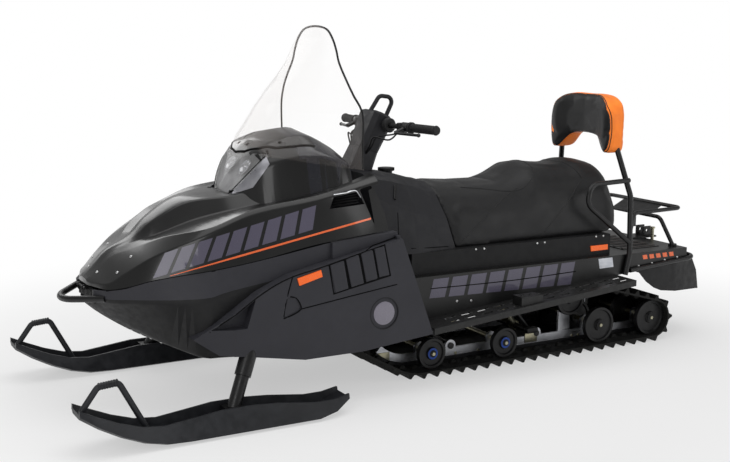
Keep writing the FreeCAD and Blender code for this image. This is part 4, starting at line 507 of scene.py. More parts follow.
class Mould:
    """Mesh of one piece while it is made. Each call adds a closed shape to it."""

    def __init__(self) -> None:
        """Start empty."""
        self.mesh = bmesh.new()

    def loft(self, rings: list[list[Vector]], closed: bool = False, capped: bool = True) -> None:
        """Skin equal rings of points.

        Args:
            rings: Rings in order, each with as many points as the first.
            closed: Whether the last ring joins the first.
            capped: Whether the two ends are filled.
        """
        rows = [[self.mesh.verts.new(p) for p in ring] for ring in rings]
        pairs = list(zip(rows, rows[1:] + rows[:1])) if closed else list(zip(rows, rows[1:]))
        for first, second in pairs:
            for number in range(len(first)):
                after = (number + 1) % len(first)
                self.mesh.faces.new((first[number], first[after], second[after], second[number]))
        if capped and not closed:
            self.mesh.faces.new(rows[0][::-1])
            self.mesh.faces.new(rows[-1])

    def sweep(self, line: list[Vector], radius: float, sides: int = 10, closed: bool = False,
              flatness: float = 1.0) -> None:
        """Run a round or flattened bar along a line.

        Args:
            line: Points in metres.
            radius: Radius in metres.
            sides: Sides of the bar.
            closed: Whether the line is a loop.
            flatness: Share of the radius kept across the bar's second axis.
        """
        rings = []
        normal = None
        count = len(line)
        for number, here in enumerate(line):
            if closed:
                along = (line[(number + 1) % count] - line[number - 1]).normalized()
            else:
                along = (line[min(number + 1, count - 1)] - line[max(number - 1, 0)]).normalized()
            if normal is None:
                normal = along.orthogonal().normalized()
                if abs(along.y) < 0.9:
                    normal = along.cross(Vector((0, 1, 0))).normalized()
            normal = (normal - along * normal.dot(along)).normalized()
            across = along.cross(normal)
            rings.append([here + normal * (math.cos(a) * radius) + across * (math.sin(a) * radius * flatness)
                          for a in (2 * math.pi * k / sides for k in range(sides))])
        self.loft(rings, closed)

    def prism(self, outline: list[Vector], depth: Vector) -> None:
        """Carry a flat outline along a direction."""
        self.loft([outline, [p + depth for p in outline]])

    def block(self, low: Point, high: Point) -> None:
        """Add a box between two corners in millimetres."""
        a, b = metres(low), metres(high)
        self.prism([Vector((a.x, a.y, a.z)), Vector((b.x, a.y, a.z)), Vector((b.x, b.y, a.z)),
                    Vector((a.x, b.y, a.z))], Vector((0, 0, b.z - a.z)))

    def turned(self, profile: list[Flat], centre: Point, axis: Vector, segments: int = 28) -> None:
        """Turn a closed profile of radius and height, in millimetres, about an axis through a centre."""
        up = axis.normalized()
        side = up.orthogonal().normalized()
        front = up.cross(side)
        middle = metres(centre)
        rings = []
        for number in range(segments):
            angle = 2 * math.pi * number / segments
            out = side * math.cos(angle) + front * math.sin(angle)
            rings.append([middle + out * (r * MM) + up * (h * MM) for r, h in profile])
        self.loft(rings, closed=True)

    def slab(self, outer: list[list[Vector]], inner: list[list[Vector]]) -> None:
        """Close two equal grids of points into a thin solid."""
        top = [[self.mesh.verts.new(p) for p in row] for row in outer]
        low = [[self.mesh.verts.new(p) for p in row] for row in inner]
        rows, columns = len(top), len(top[0])
        for i in range(rows - 1):
            for j in range(columns - 1):
                self.mesh.faces.new((top[i][j], top[i][j + 1], top[i + 1][j + 1], top[i + 1][j]))
                self.mesh.faces.new((low[i][j], low[i + 1][j], low[i + 1][j + 1], low[i][j + 1]))
        rim = ([(0, j) for j in range(columns)] + [(i, columns - 1) for i in range(1, rows)]
               + [(rows - 1, j) for j in range(columns - 2, -1, -1)] + [(i, 0) for i in range(rows - 2, 0, -1)])
        for (i, j), (k, m) in zip(rim, rim[1:] + rim[:1]):
            self.mesh.faces.new((top[k][m], top[i][j], low[i][j], low[k][m]))

    def bevel(self, width: float, segments: int = 2) -> None:
        """Round every sharp edge made so far."""
        bmesh.ops.recalc_face_normals(self.mesh, faces=self.mesh.faces)
        sharp = [e for e in self.mesh.edges if e.is_manifold and e.calc_face_angle(0) > 0.5]
        bmesh.ops.bevel(self.mesh, geom=sharp, offset=width * MM, segments=segments, profile=0.5,
                        affect="EDGES", clamp_overlap=True)

    def data(self, name: str, crease: float = 0.6) -> Mesh:
        """Turn the shape into a mesh with outward normals and creases over an angle."""
        bmesh.ops.remove_doubles(self.mesh, verts=self.mesh.verts, dist=1e-6)
        bmesh.ops.recalc_face_normals(self.mesh, faces=self.mesh.faces)
        for face in self.mesh.faces:
            face.smooth = True
        for edge in self.mesh.edges:
            edge.smooth = not (edge.is_manifold and edge.calc_face_angle(0) > crease)
        mesh = bpy.data.meshes.new(name)
        self.mesh.to_mesh(mesh)
        self.mesh.free()
        return mesh

    def piece(self, name: str, finish: Finish, body: str, slot: str | None = None, crease: float = 0.6
              ) -> Object:
        """Turn the shape into a piece that rides on a body."""
        return place(self.data(name, crease), name, finish, body)


def place(mesh: Mesh, name: str, finish: Finish, body: str
          ) -> Object:
    """Put a mesh into the scene, dressed and riding on its body.

    Args:
        mesh: Mesh in the frame's own coordinates.
        name: Name of the piece.
        finish: Its finish.
        body: Body that carries it.

    Returns:
        The piece.
    """
    piece = linked(bpy.data.objects.new(name, mesh))
    dressed(mesh, finish)
    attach(piece, body)
    LOG.info("%s: %d faces on %s", name, len(mesh.polygons), body)
    return piece


EYE = (2461, 4162, 1414)
YAW, PITCH, ROLL = math.radians(-119.03), math.radians(9.88), math.radians(0.37)
FOCAL_PIXELS = 1140.9
PHOTO_CENTRE = (365, 231)


def camera_axes() -> tuple[Vector, Vector, Vector]:
    """Return the camera's right, up and forward directions."""
    ahead = Vector((math.cos(YAW) * math.cos(PITCH), math.sin(YAW) * math.cos(PITCH), -math.sin(PITCH)))
    right = Vector((math.sin(YAW), -math.cos(YAW), 0.0))
    up = right.cross(ahead)
    level = right * math.cos(ROLL) + up * math.sin(ROLL)
    top = up * math.cos(ROLL) - right * math.sin(ROLL)
    return level, top, ahead


def sight(pixel: Flat) -> Vector:
    """Return the direction in which the camera sees a pixel of the photo."""
    level, top, ahead = camera_axes()
    return (ahead + level * ((pixel[0] - PHOTO_CENTRE[0]) / FOCAL_PIXELS)
            - top * ((pixel[1] - PHOTO_CENTRE[1]) / FOCAL_PIXELS)).normalized()


def at_share(path: Line, share: float) -> Flat:
    """Return the point at a share of a polyline's count of spans."""
    place_in = share * (len(path) - 1)
    first = min(int(place_in), len(path) - 2)
    rest = place_in - first
    return tuple(path[first][k] + (path[first + 1][k] - path[first][k]) * rest for k in (0, 1))


class Skin:
    """Outer surface of some meshes, onto which films, trims and bolts are laid."""

    def __init__(self, *meshes: Mesh) -> None:
        """Gather the meshes' faces."""
        corners: list[Vector] = []
        faces: list[tuple[int, ...]] = []
        for mesh in meshes:
            start = len(corners)
            corners += [v.co.copy() for v in mesh.vertices]
            faces += [tuple(start + k for k in p.vertices) for p in mesh.polygons]
        self.tree = BVHTree.FromPolygons(corners, faces)

    def near(self, point: Vector) -> float:
        """Return how far a point is from the surface."""
        return (self.tree.find_nearest(point)[0] - point).length

    def seen(self, pixel: Flat) -> Spot | None:
        """Return the surface that the camera sees at a pixel of the photo."""
        return self.hit(metres(EYE), sight(pixel))

    def seen_all(self, pixels: Line) -> list[Spot]:
        """Return the surface at pixels of the photo, and the same on the other side."""
        found = [spot for spot in map(self.seen, pixels) if spot]
        return found + [tuple(Vector((v.x, -v.y, v.z)) for v in spot) for spot in found]

    def patch(self, mould: Mould, top: Line, low: Line, cuts: tuple[int, int] = (8, 3), proud: float = 0.5,
              sunk: float = 1.0, both: bool = True, probe: Probe | None = None) -> None:
        """Lay a film between two lines seen in the photo, on both sides of the machine.

        Args:
            mould: Mould that takes the film.
            top: Pixels along its upper line.
            low: Pixels along its lower line, in the same direction.
            cuts: Cells along and across it.
            proud: Height over the surface in millimetres.
            sunk: Depth below it in millimetres.
            both: Whether the other side gets one too.
            probe: What finds the surface at a point of the lines; the camera's sight if left out.
        """
        probe = probe or self.seen
        grid = []
        last = None
        for i in range(cuts[0] + 1):
            high, foot = at_share(top, i / cuts[0]), at_share(low, i / cuts[0])
            row = []
            for j in range(cuts[1] + 1):
                v = j / cuts[1]
                last = probe((high[0] + (foot[0] - high[0]) * v, high[1] + (foot[1] - high[1]) * v)) or last
                if last is None:
                    return
                row.append(last)
            grid.append(row)
        for flip in SIDES if both else SIDES[:1]:
            layers = []
            for height in (proud, -sunk):
                layers.append([[Vector((p.x + n.x * height * MM, (p.y + n.y * height * MM) * flip,
                                        p.z + n.z * height * MM)) for p, n in row] for row in grid])
            mould.slab(*layers)

    def plane(self, spots: Line) -> Probe:
        """Return a probe for patch that reads the flat plane through three points seen in the photo."""
        eye = metres(EYE)
        a, b, c = (self.seen(spot)[0] for spot in spots)
        normal = (b - a).cross(c - a).normalized()
        if normal.dot(eye - a) < 0.0:
            normal = -normal

        def probe(pixel: Flat) -> Spot | None:
            """Where the sight line of a pixel meets the plane."""
            ray = sight(pixel)
            return eye + ray * ((a - eye).dot(normal) / ray.dot(normal)), normal

        return probe

    def bead(self, mould: Mould, path: Line, radius: float, lift: float = 0.0, steps: int = 8) -> None:
        """Run a thin cord over the surface along a line of the photo, on both sides, sizes in millimetres."""
        line = smooth_path([(x, 0.0, y) for x, y in path], steps)
        run = points([self.seen((v.x / MM, v.z / MM)) for v in line], lift * MM)
        for flip in SIDES:
            mould.sweep([Vector((v.x, v.y * flip, v.z)) for v in run], radius * MM, 6)

    def hit(self, start: Vector, way: Vector) -> Spot | None:
        """Return where a ray meets the surface and which way it faces there."""
        point, normal, _, _ = self.tree.ray_cast(start, way.normalized())
        if point is None:
            return None
        return point, normal if normal.dot(way) < 0 else -normal

    def side(self, x: float, z: float, sign: float = 1.0) -> Spot | None:
        """Return the surface met from one side at a length and height in millimetres."""
        return self.hit(Vector((x * MM, sign * 0.9, z * MM)), Vector((0, -sign, 0)))

    def above(self, x: float, y: float) -> Spot | None:
        """Return the surface met from above at a place in millimetres."""
        return self.hit(Vector((x * MM, y * MM, 2.0)), Vector((0, 0, -1)))

    def film(self, mould: Mould, corners: Line, sign: float = 1.0, cuts: tuple[int, int] = (4, 4),
             proud: float = 0.5, sunk: float = 1.0) -> None:
        """Lay a four-cornered film on one side of the surface.

        Args:
            mould: Mould that takes the film.
            corners: Length and height of its corners in millimetres, in order round it.
            sign: 1 for the left side, -1 for the right.
            cuts: Cells along its first and second sides.
            proud: Height over the surface in millimetres.
            sunk: Depth below it in millimetres.
        """
        a, b, c, d = corners
        self.patch(mould, (a, b), (d, c), cuts, proud, sunk, False, lambda spot: self.side(*spot, sign))

    def ribbon(self, mould: Mould, path: Line, width: float, sign: float = 1.0, proud: float = 0.5,
               steps: int = 8) -> None:
        """Lay a strip of one width, in millimetres, along lengths and heights on one side of the surface."""
        line = smooth_path([(x, 0.0, z) for x, z in path], steps)
        outer, inner = [], []
        for number, here in enumerate(line):
            along = line[min(number + 1, len(line) - 1)] - line[max(number - 1, 0)]
            across = Vector((-along.z, 0, along.x)).normalized() * (width * MM / 2)
            found = [self.side(spot.x / MM, spot.z / MM, sign) for spot in (here - across, here + across)]
            if all(found):
                outer.append(points(found, proud * MM))
                inner.append(points(found, -MM))
        mould.slab(outer, inner)


class Head(Enum):
    """Shapes of bolt and rivet heads."""

    DOME = "dome"
    HEX = "hex"


def head_mesh(head: Head) -> Mesh:
    """Return a head of unit radius and height, standing on its foot along Z."""
    mould = Mould()
    if head is Head.DOME:
        profile = [(0.001, -300), (1000, -300), (1000, 0), (900, 480), (620, 820),
                   (300, 970), (0.001, 1000)]
        mould.turned(profile, (0, 0, 0), UP, 14)
    else:
        profile = [(0.001, -300), (1000, -300), (1000, 850), (880, 1000), (0.001, 1000)]
        mould.turned(profile, (0, 0, 0), UP, 6)
    return mould.data("head_" + head.value)


class Repeater:
    """Geometry Nodes tree that sets one shape at many places and turns it to lie on the surface there."""

    def __init__(self) -> None:
        """Build the tree with its named inputs."""
        tree = bpy.data.node_groups.new("repeat_on_places", "GeometryNodeTree")
        self.inputs = {}
        for name, kind in (("Places", "NodeSocketGeometry"), ("Shape", "NodeSocketObject"),
                           ("Size", "NodeSocketVector"), ("Finish", "NodeSocketMaterial")):
            socket = tree.interface.new_socket(name=name, in_out="INPUT", socket_type=kind)
            self.inputs[name] = socket.identifier
        tree.interface.new_socket(name="Result", in_out="OUTPUT", socket_type="NodeSocketGeometry")
        self.tree = tree
        node = tree.nodes.new
        link = tree.links.new
        given = node("NodeGroupInput")
        shape = node("GeometryNodeObjectInfo")
        link(given.outputs["Shape"], shape.inputs["Object"])
        turns = None
        for attribute, axis in (("aim", "Z"), ("along", "X")):
            read = node("GeometryNodeInputNamedAttribute")
            read.data_type = "FLOAT_VECTOR"
            read.inputs["Name"].default_value = attribute
            turn = node("FunctionNodeAlignRotationToVector")
            turn.axis = axis
            turn.pivot_axis = "AUTO" if turns is None else "Z"
            link(read.outputs["Attribute"], turn.inputs["Vector"])
            if turns is not None:
                link(turns, turn.inputs["Rotation"])
            turns = turn.outputs["Rotation"]
        spots = node("GeometryNodeInstanceOnPoints")
        link(given.outputs["Places"], spots.inputs["Points"])
        link(shape.outputs["Geometry"], spots.inputs["Instance"])
        link(turns, spots.inputs["Rotation"])
        link(given.outputs["Size"], spots.inputs["Scale"])
        real = node("GeometryNodeRealizeInstances")
        dress = node("GeometryNodeSetMaterial")
        out = node("NodeGroupOutput")
        link(spots.outputs["Instances"], real.inputs["Geometry"])
        link(real.outputs["Geometry"], dress.inputs["Geometry"])
        link(given.outputs["Finish"], dress.inputs["Material"])
        link(dress.outputs["Geometry"], out.inputs["Result"])

    def set_out(self, name: str, shape: Mesh, places: list[tuple[Vector, Vector, Vector]],
                size: Point, finish: Finish, body: str, slot: str | None = None) -> Object:
        """Set a shape at each place.

        Args:
            name: Name of the piece.
            shape: Shape with its foot at the origin and Z away from the surface.
            places: Point, direction away from the surface, and direction along it, of each one.
            size: Scale along the shape's own axes.
            finish: Its finish.
            body: Body that carries it.
            slot: Not used.

        Returns:
            The piece, as a plain mesh.
        """
        mesh = bpy.data.meshes.new(name)
        mesh.from_pydata([p for p, _, _ in places], [], [])
        for attribute, column in (("aim", 1), ("along", 2)):
            layer = mesh.attributes.new(attribute, "FLOAT_VECTOR", "POINT")
            layer.data.foreach_set("vector", [c for row in places for c in row[column]])
        carrier = linked(bpy.data.objects.new(name + "_places", mesh))
        pattern = linked(bpy.data.objects.new(name + "_shape", shape))
        modifier = carrier.modifiers.new("repeat", "NODES")
        modifier.node_group = self.tree
        modifier[self.inputs["Shape"]] = pattern
        modifier[self.inputs["Size"]] = size
        modifier[self.inputs["Finish"]] = finish.material()
        result = evaluated(carrier)
        result.name = name
        carrier.modifiers.remove(modifier)
        bpy.data.objects.remove(carrier)
        bpy.data.objects.remove(pattern)
        return place(result, name, finish, body)


@dataclass
class Kit:
    """What every sub-assembly is given: the frame and the tree that repeats shapes."""

    frame: dict
    repeater: Repeater
    shapes: dict[str, Mesh] = field(default_factory=dict)

    def skin(self, *nodes: str) -> Skin:
        """Return the surface of some nodes."""
        return Skin(*[self.frame["nodes"][name].data for name in nodes])

    def made(self, *names: str) -> Skin:
        """Return the surface of some of the scene's own covers."""
        return Skin(*[self.shapes[name] for name in names])

    def heads(self, name: str, spots: Sequence[Spot | None], radius: float, height: float, finish: Finish,
              body: str, head: Head = Head.DOME, slot: str | None = None) -> Object:
        """Set bolt or rivet heads, sizes in millimetres, at the places that were found."""
        places = [(p, n, n.orthogonal().normalized()) for p, n in filter(None, spots)]
        return self.repeater.set_out(name, head_mesh(head), places, (radius * MM, radius * MM, height * MM),
                                     finish, body, slot)


Section = list[Flat]
Station = tuple[float, Section]


def rounded(outline: Section, radius: float, steps: int = 3) -> Section:
    """Turn each inner corner of an open outline into a short arc of the same number of points."""
    line = [outline[0]]
    for before, corner, after in zip(outline, outline[1:], outline[2:]):
        ways = []
        for other in (before, after):
            way = Vector((other[0] - corner[0], other[1] - corner[1]))
            ways.append(way.normalized() * min(radius, way.length * 0.42))
        middle = Vector(corner)
        for step in range(steps + 1):
            t = step / steps
            spot = middle + ways[0] * (1 - t) ** 2 + ways[1] * t ** 2
            line.append((spot.x, spot.y))
    return line + [outline[-1]]


def eased(places: list[float], values: list[float], at: float) -> float:
    """Return the value of a smooth curve through values that never overshoots them."""
    spans = [b - a for a, b in zip(places, places[1:])]
    slopes = [(b - a) / h for a, b, h in zip(values, values[1:], spans)]
    ends = [slopes[0]]
    for one, two, left, right in zip(slopes, slopes[1:], spans, spans[1:]):
        if one * two <= 0:
            ends.append(0)
        else:
            first, second = 2 * abs(right) + abs(left), abs(right) + 2 * abs(left)
            ends.append((first + second) / (first / one + second / two))
    ends.append(slopes[-1])
    number = 0
    while number < len(spans) - 1 and (at - places[number + 1]) * (1 if spans[0] > 0 else -1) > 0:
        number += 1
    h = spans[number]
    t = (at - places[number]) / h
    return (values[number] * (1 + 2 * t) * (1 - t) ** 2 + ends[number] * h * t * (1 - t) ** 2
            + values[number + 1] * t * t * (3 - 2 * t) + ends[number + 1] * h * t * t * (t - 1))


def inset(outline: Section, wall: float) -> Section:
    """Move a half outline inwards by the wall, its first point kept on the centre line."""
    moved = []
    for number, (y, z) in enumerate(outline):
        before = outline[number - 1] if number else (-outline[1][0], outline[1][1])
        if number + 1 < len(outline):
            after = outline[number + 1]
        else:
            after = (2 * y - before[0], 2 * z - before[1])
        normal = Vector((0, 0))
        for a, b in ((before, (y, z)), ((y, z), after)):
            way = Vector((b[0] - a[0], b[1] - a[1])).normalized()
            normal += Vector((way.y, -way.x))
        shift = normal * (2 * wall / normal.length_squared)
        moved.append((max(y + shift.x, 0.0) if number else 0.0, z + shift.y))
    return moved


@dataclass
class Shell:
    """Thin body shell through cross sections, smooth along its length and softly creased across it."""

    stations: list[Station]
    wall: float = 4.0
    corner: float = 9.0
    steps: int = 5
    run_out: float = 60.0

    def solid(self, hollow: bool = False, ends: Flat = (0, 0), turned_up: bool = True) -> Mesh:
        """Make the whole body, or the room inside its wall.

        Args:
            hollow: Whether the room inside is made.
            ends: How far the first and the last section are moved along the length.
            turned_up: Whether the outline starts at the top; the lower body's starts at the bottom.

        Returns:
            A closed mesh.
        """
        rows = []
        for number, (x, outline) in enumerate(self.stations):
            if hollow:
                outline = inset(outline, self.wall if turned_up else -self.wall)
                (y0, z0), (y1, z1) = outline[-2:]
                reach = self.run_out / math.hypot(y1 - y0, z1 - z0)
                outline = outline[:-1] + [(y1 + (y1 - y0) * reach, z1 + (z1 - z0) * reach)]
                x += ends[0] if number == 0 else ends[1] if number == len(self.stations) - 1 else 0.0
            rows.append((x, rounded(outline, self.corner)))
        xs = [x for x, _ in rows]
        rings = []
        for (x0, _), (x1, _) in zip(rows, rows[1:]):
            for step in range(self.steps):
                rings.append(self.ring(rows, xs, x0 + (x1 - x0) * step / self.steps))
        rings.append(self.ring(rows, xs, xs[-1]))
        mould = Mould()
        mould.loft(rings)
        return mould.data("shell")

    def ring(self, rows: list[Station], xs: list[float], x: float) -> list[Vector]:
        """Return the closed section at a length, in metres."""
        half = []
        for number in range(len(rows[0][1])):
            half.append(Vector((x, eased(xs, [r[1][number][0] for r in rows], x),
                                eased(xs, [r[1][number][1] for r in rows], x))) * MM)
        return half + [Vector((v.x, -v.y, v.z)) for v in reversed(half[1:])]


class Joining(Enum):
    """Ways in which two closed shapes are combined."""

    UNION = "UNION"
    CUT = "DIFFERENCE"
    COMMON = "INTERSECT"


def combined(base: Mesh, tool: Mesh, way: Joining) -> Mesh:
    """Join or cut two closed meshes and return the result."""
    objects = [linked(bpy.data.objects.new("joining", mesh)) for mesh in (base, tool)]
    modifier = objects[0].modifiers.new("join", "BOOLEAN")
    modifier.object = objects[1]
    modifier.operation = way.value
    modifier.solver = "EXACT"
    result = evaluated(objects[0])
    objects[0].modifiers.clear()
    for made in objects:
        bpy.data.objects.remove(made)
    return result


def creased(mesh: Mesh, angle: float) -> Mesh:
    """Merge a mesh's doubles, shade it smooth and keep the edges over an angle sharp."""
    work = bmesh.new()
    work.from_mesh(mesh)
    bmesh.ops.remove_doubles(work, verts=work.verts, dist=2e-5)
    bmesh.ops.triangulate(work, faces=work.faces)
    for face in work.faces:
        face.smooth = True
    for edge in work.edges:
        edge.smooth = not (edge.is_manifold and edge.calc_face_angle(0) > angle)
    result = bpy.data.meshes.new(mesh.name)
    work.to_mesh(result)
    work.free()
    return result


def bar_mesh(start: Point, end: Point, radius: float, sides: int = 24) -> Mesh:
    """Return a closed round bar between two points in millimetres."""
    mould = Mould()
    mould.sweep([metres(start), metres(end)], radius * MM, sides)
    return mould.data("bar")


def block_mesh(low: Point, high: Point) -> Mesh:
    """Return a closed box between two corners in millimetres."""
    mould = Mould()
    mould.block(low, high)
    return mould.data("block")


LENS_BLOCK: Section = [(800, 784), (672, 952), (872, 952), (1000, 784)]
LENS_NORMAL = Vector((0.7955, 0, 0.6061))
VENT: Section = [(485, 797), (368, 808), (348, 760), (508, 755)]
PAN_STATIONS: list[Station] = [
    (1352, [(0, 405), (40, 410), (112, 447), (122, 478)]),
    (1318, [(0, 375), (80, 392), (183, 441), (178, 484)]),
    (1262, [(0, 333), (103, 354), (236, 444), (240, 500)]),
    (1180, [(0, 279), (164, 304), (305, 448), (293, 528)]),
    (1110, [(0, 240), (241, 267), (355, 452), (323, 541)]),
    (1000, [(0, 196), (384, 238), (398, 458), (360, 557)]),
    (960, [(0, 195), (384, 236), (400, 468), (374, 563)]),
    (800, [(0, 193), (385, 222), (400, 492), (392, 587)]),
    (520, [(0, 190), (385, 205), (400, 528), (400, 632)])]
HOOD_STATIONS: list[Station] = [
    (1358, [(0, 507), (14, 506), (26, 505), (38, 504), (52, 500), (60, 487)]),
    (1318, [(0, 548), (14, 545), (30, 541), (50, 536), (165, 506), (176, 487)]),
    (1262, [(0, 604), (14, 600), (34, 594), (62, 588), (208, 546), (238, 503)]),
    (1180, [(0, 644), (30, 641), (62, 634), (120, 627), (256, 604), (292, 531)]),
    (1110, [(0, 712), (54, 702), (92, 655), (195, 668), (292, 640), (322, 544)]),
    (960, [(0, 788), (92, 780), (132, 712), (334, 716), (350, 700), (373, 566)]),
    (800, [(0, 800), (150, 800), (190, 752), (347, 774), (362, 756), (392, 590)]),
    (560, [(0, 850), (150, 848), (262, 800), (346, 806), (360, 790), (401, 632)]),
    (262, [(0, 868), (120, 866), (200, 866), (272, 860), (300, 840), (388, 657)])]
POD_STATIONS: list[Station] = [
    (806, [(0, 820), (36, 815), (62, 796), (70, 740)]),
    (760, [(0, 905), (96, 893), (150, 850), (180, 740)]),
    (715, [(0, 972), (120, 958), (196, 900), (235, 740)]),
    (655, [(0, 1006), (150, 988), (224, 930), (266, 740)]),
    (520, [(0, 1038), (150, 1018), (245, 955), (302, 740)]),
    (400, [(0, 978), (150, 968), (250, 925), (306, 760)]),
    (300, [(0, 884), (120, 884), (225, 876), (270, 780)])]


def wedge(outline: Section, low: float, high: float) -> Mesh:
    """Return a closed body over an outline of length and height, between two places across."""
    mould = Mould()
    mould.prism([metres((x, low, z)) for x, z in outline], Vector((0, (high - low) * MM, 0)))
    return mould.data("wedge")


@dataclass
class Shells:
    """Hood with its pod, lens and belly pan as smooth thin shells, and soft copies of other covers."""

    kit: Kit
    pod_foot: float = 741.0
    pod_metal_rear: float = 565.0
    strut_start: Point = (960, 480, 61)
    strut_way: Point = (0.4791, 0.3114, -1)
    strut_span: Flat = (134, 389)
    strut_hole: float = 31.5
    band_lift: float = 14.0
    crease: float = 0.45
    hood_ends: Flat = (-8, -40)
    pod_ends: Flat = (-12, -40)
    lens_ends: Flat = (-8, -60)
    vent_span: Flat = (285, 420)
    grille: tuple[Point, Point] = ((1336, -104, 424), (1400, 104, 500))
    softened: tuple[tuple[str, str, str], ...] = (
        ("fuel_tank", "chassis", "charcoal_plastic"), ("console_cover", "chassis", "charcoal_plastic"),
        ("handlebar_pad", "steering", "charcoal_plastic"), ("left_ski", "left_ski_leg", "ski_plastic"),
        ("right_ski", "right_ski_leg", "ski_plastic"), ("snow_flap", "chassis", "charcoal_plastic"))

    def build(self) -> None:
        """Make the shells."""
        self.hood()
        self.pan()
        for node, body, slot in self.softened:
            source = self.kit.frame["nodes"][node]
            piece = place(creased(source.data, 0.5), f"{node}_cover", NODE_FINISHES[node], body)
            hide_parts(node)
            self.kit.shapes[node] = piece.data

    def hood(self) -> None:
        """Make the hood and its pod with the side outlets cut in, and the lens in the pod's front."""
        hood = Shell(HOOD_STATIONS, corner=7.0)
        pod = Shell(POD_STATIONS, corner=18.0)
        whole = pod.solid()
        front = combined(whole, wedge(LENS_BLOCK, -240.0, 240.0), Joining.COMMON)
        upper = combined(whole, block_mesh((200.0, -400.0, self.pod_foot), (900, 400, 1100)),
                         Joining.COMMON)
        body = combined(hood.solid(), upper, Joining.UNION)
        vents = [wedge(VENT, *sorted(sign * y for y in self.vent_span)) for sign in SIDES]
        for tool in (hood.solid(True, self.hood_ends), pod.solid(True, self.pod_ends), front, *vents):
            body = combined(body, tool, Joining.CUT)
        piece = self.cover(body, "hood_panels", GLOSS, "hood", "hood_shell")
        dressed(piece.data, GLOSS, POD)
        rim = Skin(whole)
        for face in piece.data.polygons:
            spot = face.center
            if spot.x < self.pod_metal_rear * MM and spot.z > 0.8 and rim.near(spot) < 2e-4:
                face.material_index = 1
        lens = combined(front, Shell(POD_STATIONS, wall=3.5, corner=18.0).solid(True, self.lens_ends),
                        Joining.CUT)
        self.cover(lens, "lens_cover", LENS, "hood", "headlight_lens")

    def cover(self, body: Mesh, name: str, finish: Finish, carrier: str, node: str) -> Object:
        """Put a shell in the place of its node and keep its shape for what is laid on it."""
        piece = place(creased(body, self.crease), name, finish, carrier)
        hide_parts(node)
        self.kit.shapes[node] = piece.data
        return piece

    def pan(self) -> None:
        """Make the belly pan with the holes of the struts and the opening of the grille, and near-black cords
        painted as the shade in its joint with the hood.
        """
        pan = Shell(PAN_STATIONS, corner=12.0)
        body = combined(pan.solid(), pan.solid(True, self.hood_ends, False), Joining.CUT)
        way = Vector(self.strut_way).normalized()
        for sign in SIDES:
            ends = [Vector(self.strut_start) - way * d for d in self.strut_span]
            body = combined(body, bar_mesh(*[(v.x, v.y * sign, v.z) for v in ends], self.strut_hole),
                            Joining.CUT)
        body = combined(body, block_mesh(*self.grille), Joining.CUT)
        piece = self.cover(body, "belly_shell", PAN_BLACK, "chassis", "belly_pan")
        dressed(piece.data, PAN_BLACK, PANEL_GREY)
        xs = [x for x, _ in PAN_STATIONS]
        for face in piece.data.polygons:
            edge = eased(xs, [outline[2][1] for _, outline in PAN_STATIONS], face.center.x / MM)
            face.material_index = int(face.center.z / MM > edge + self.band_lift)
        # near-black cords along the pan's top edge: painted shade in the joint between pan and hood
        joint_shade = Mould()
        for sign in SIDES:
            edge = [(x, (outline[3][0] - 6.0) * sign, outline[3][1] - 1.0) for x, outline in PAN_STATIONS[1:]]
            joint_shade.sweep(smooth_path(edge, 5), 0.005, 8)
        joint_shade.piece("hood_seals", GROOVE, "chassis")


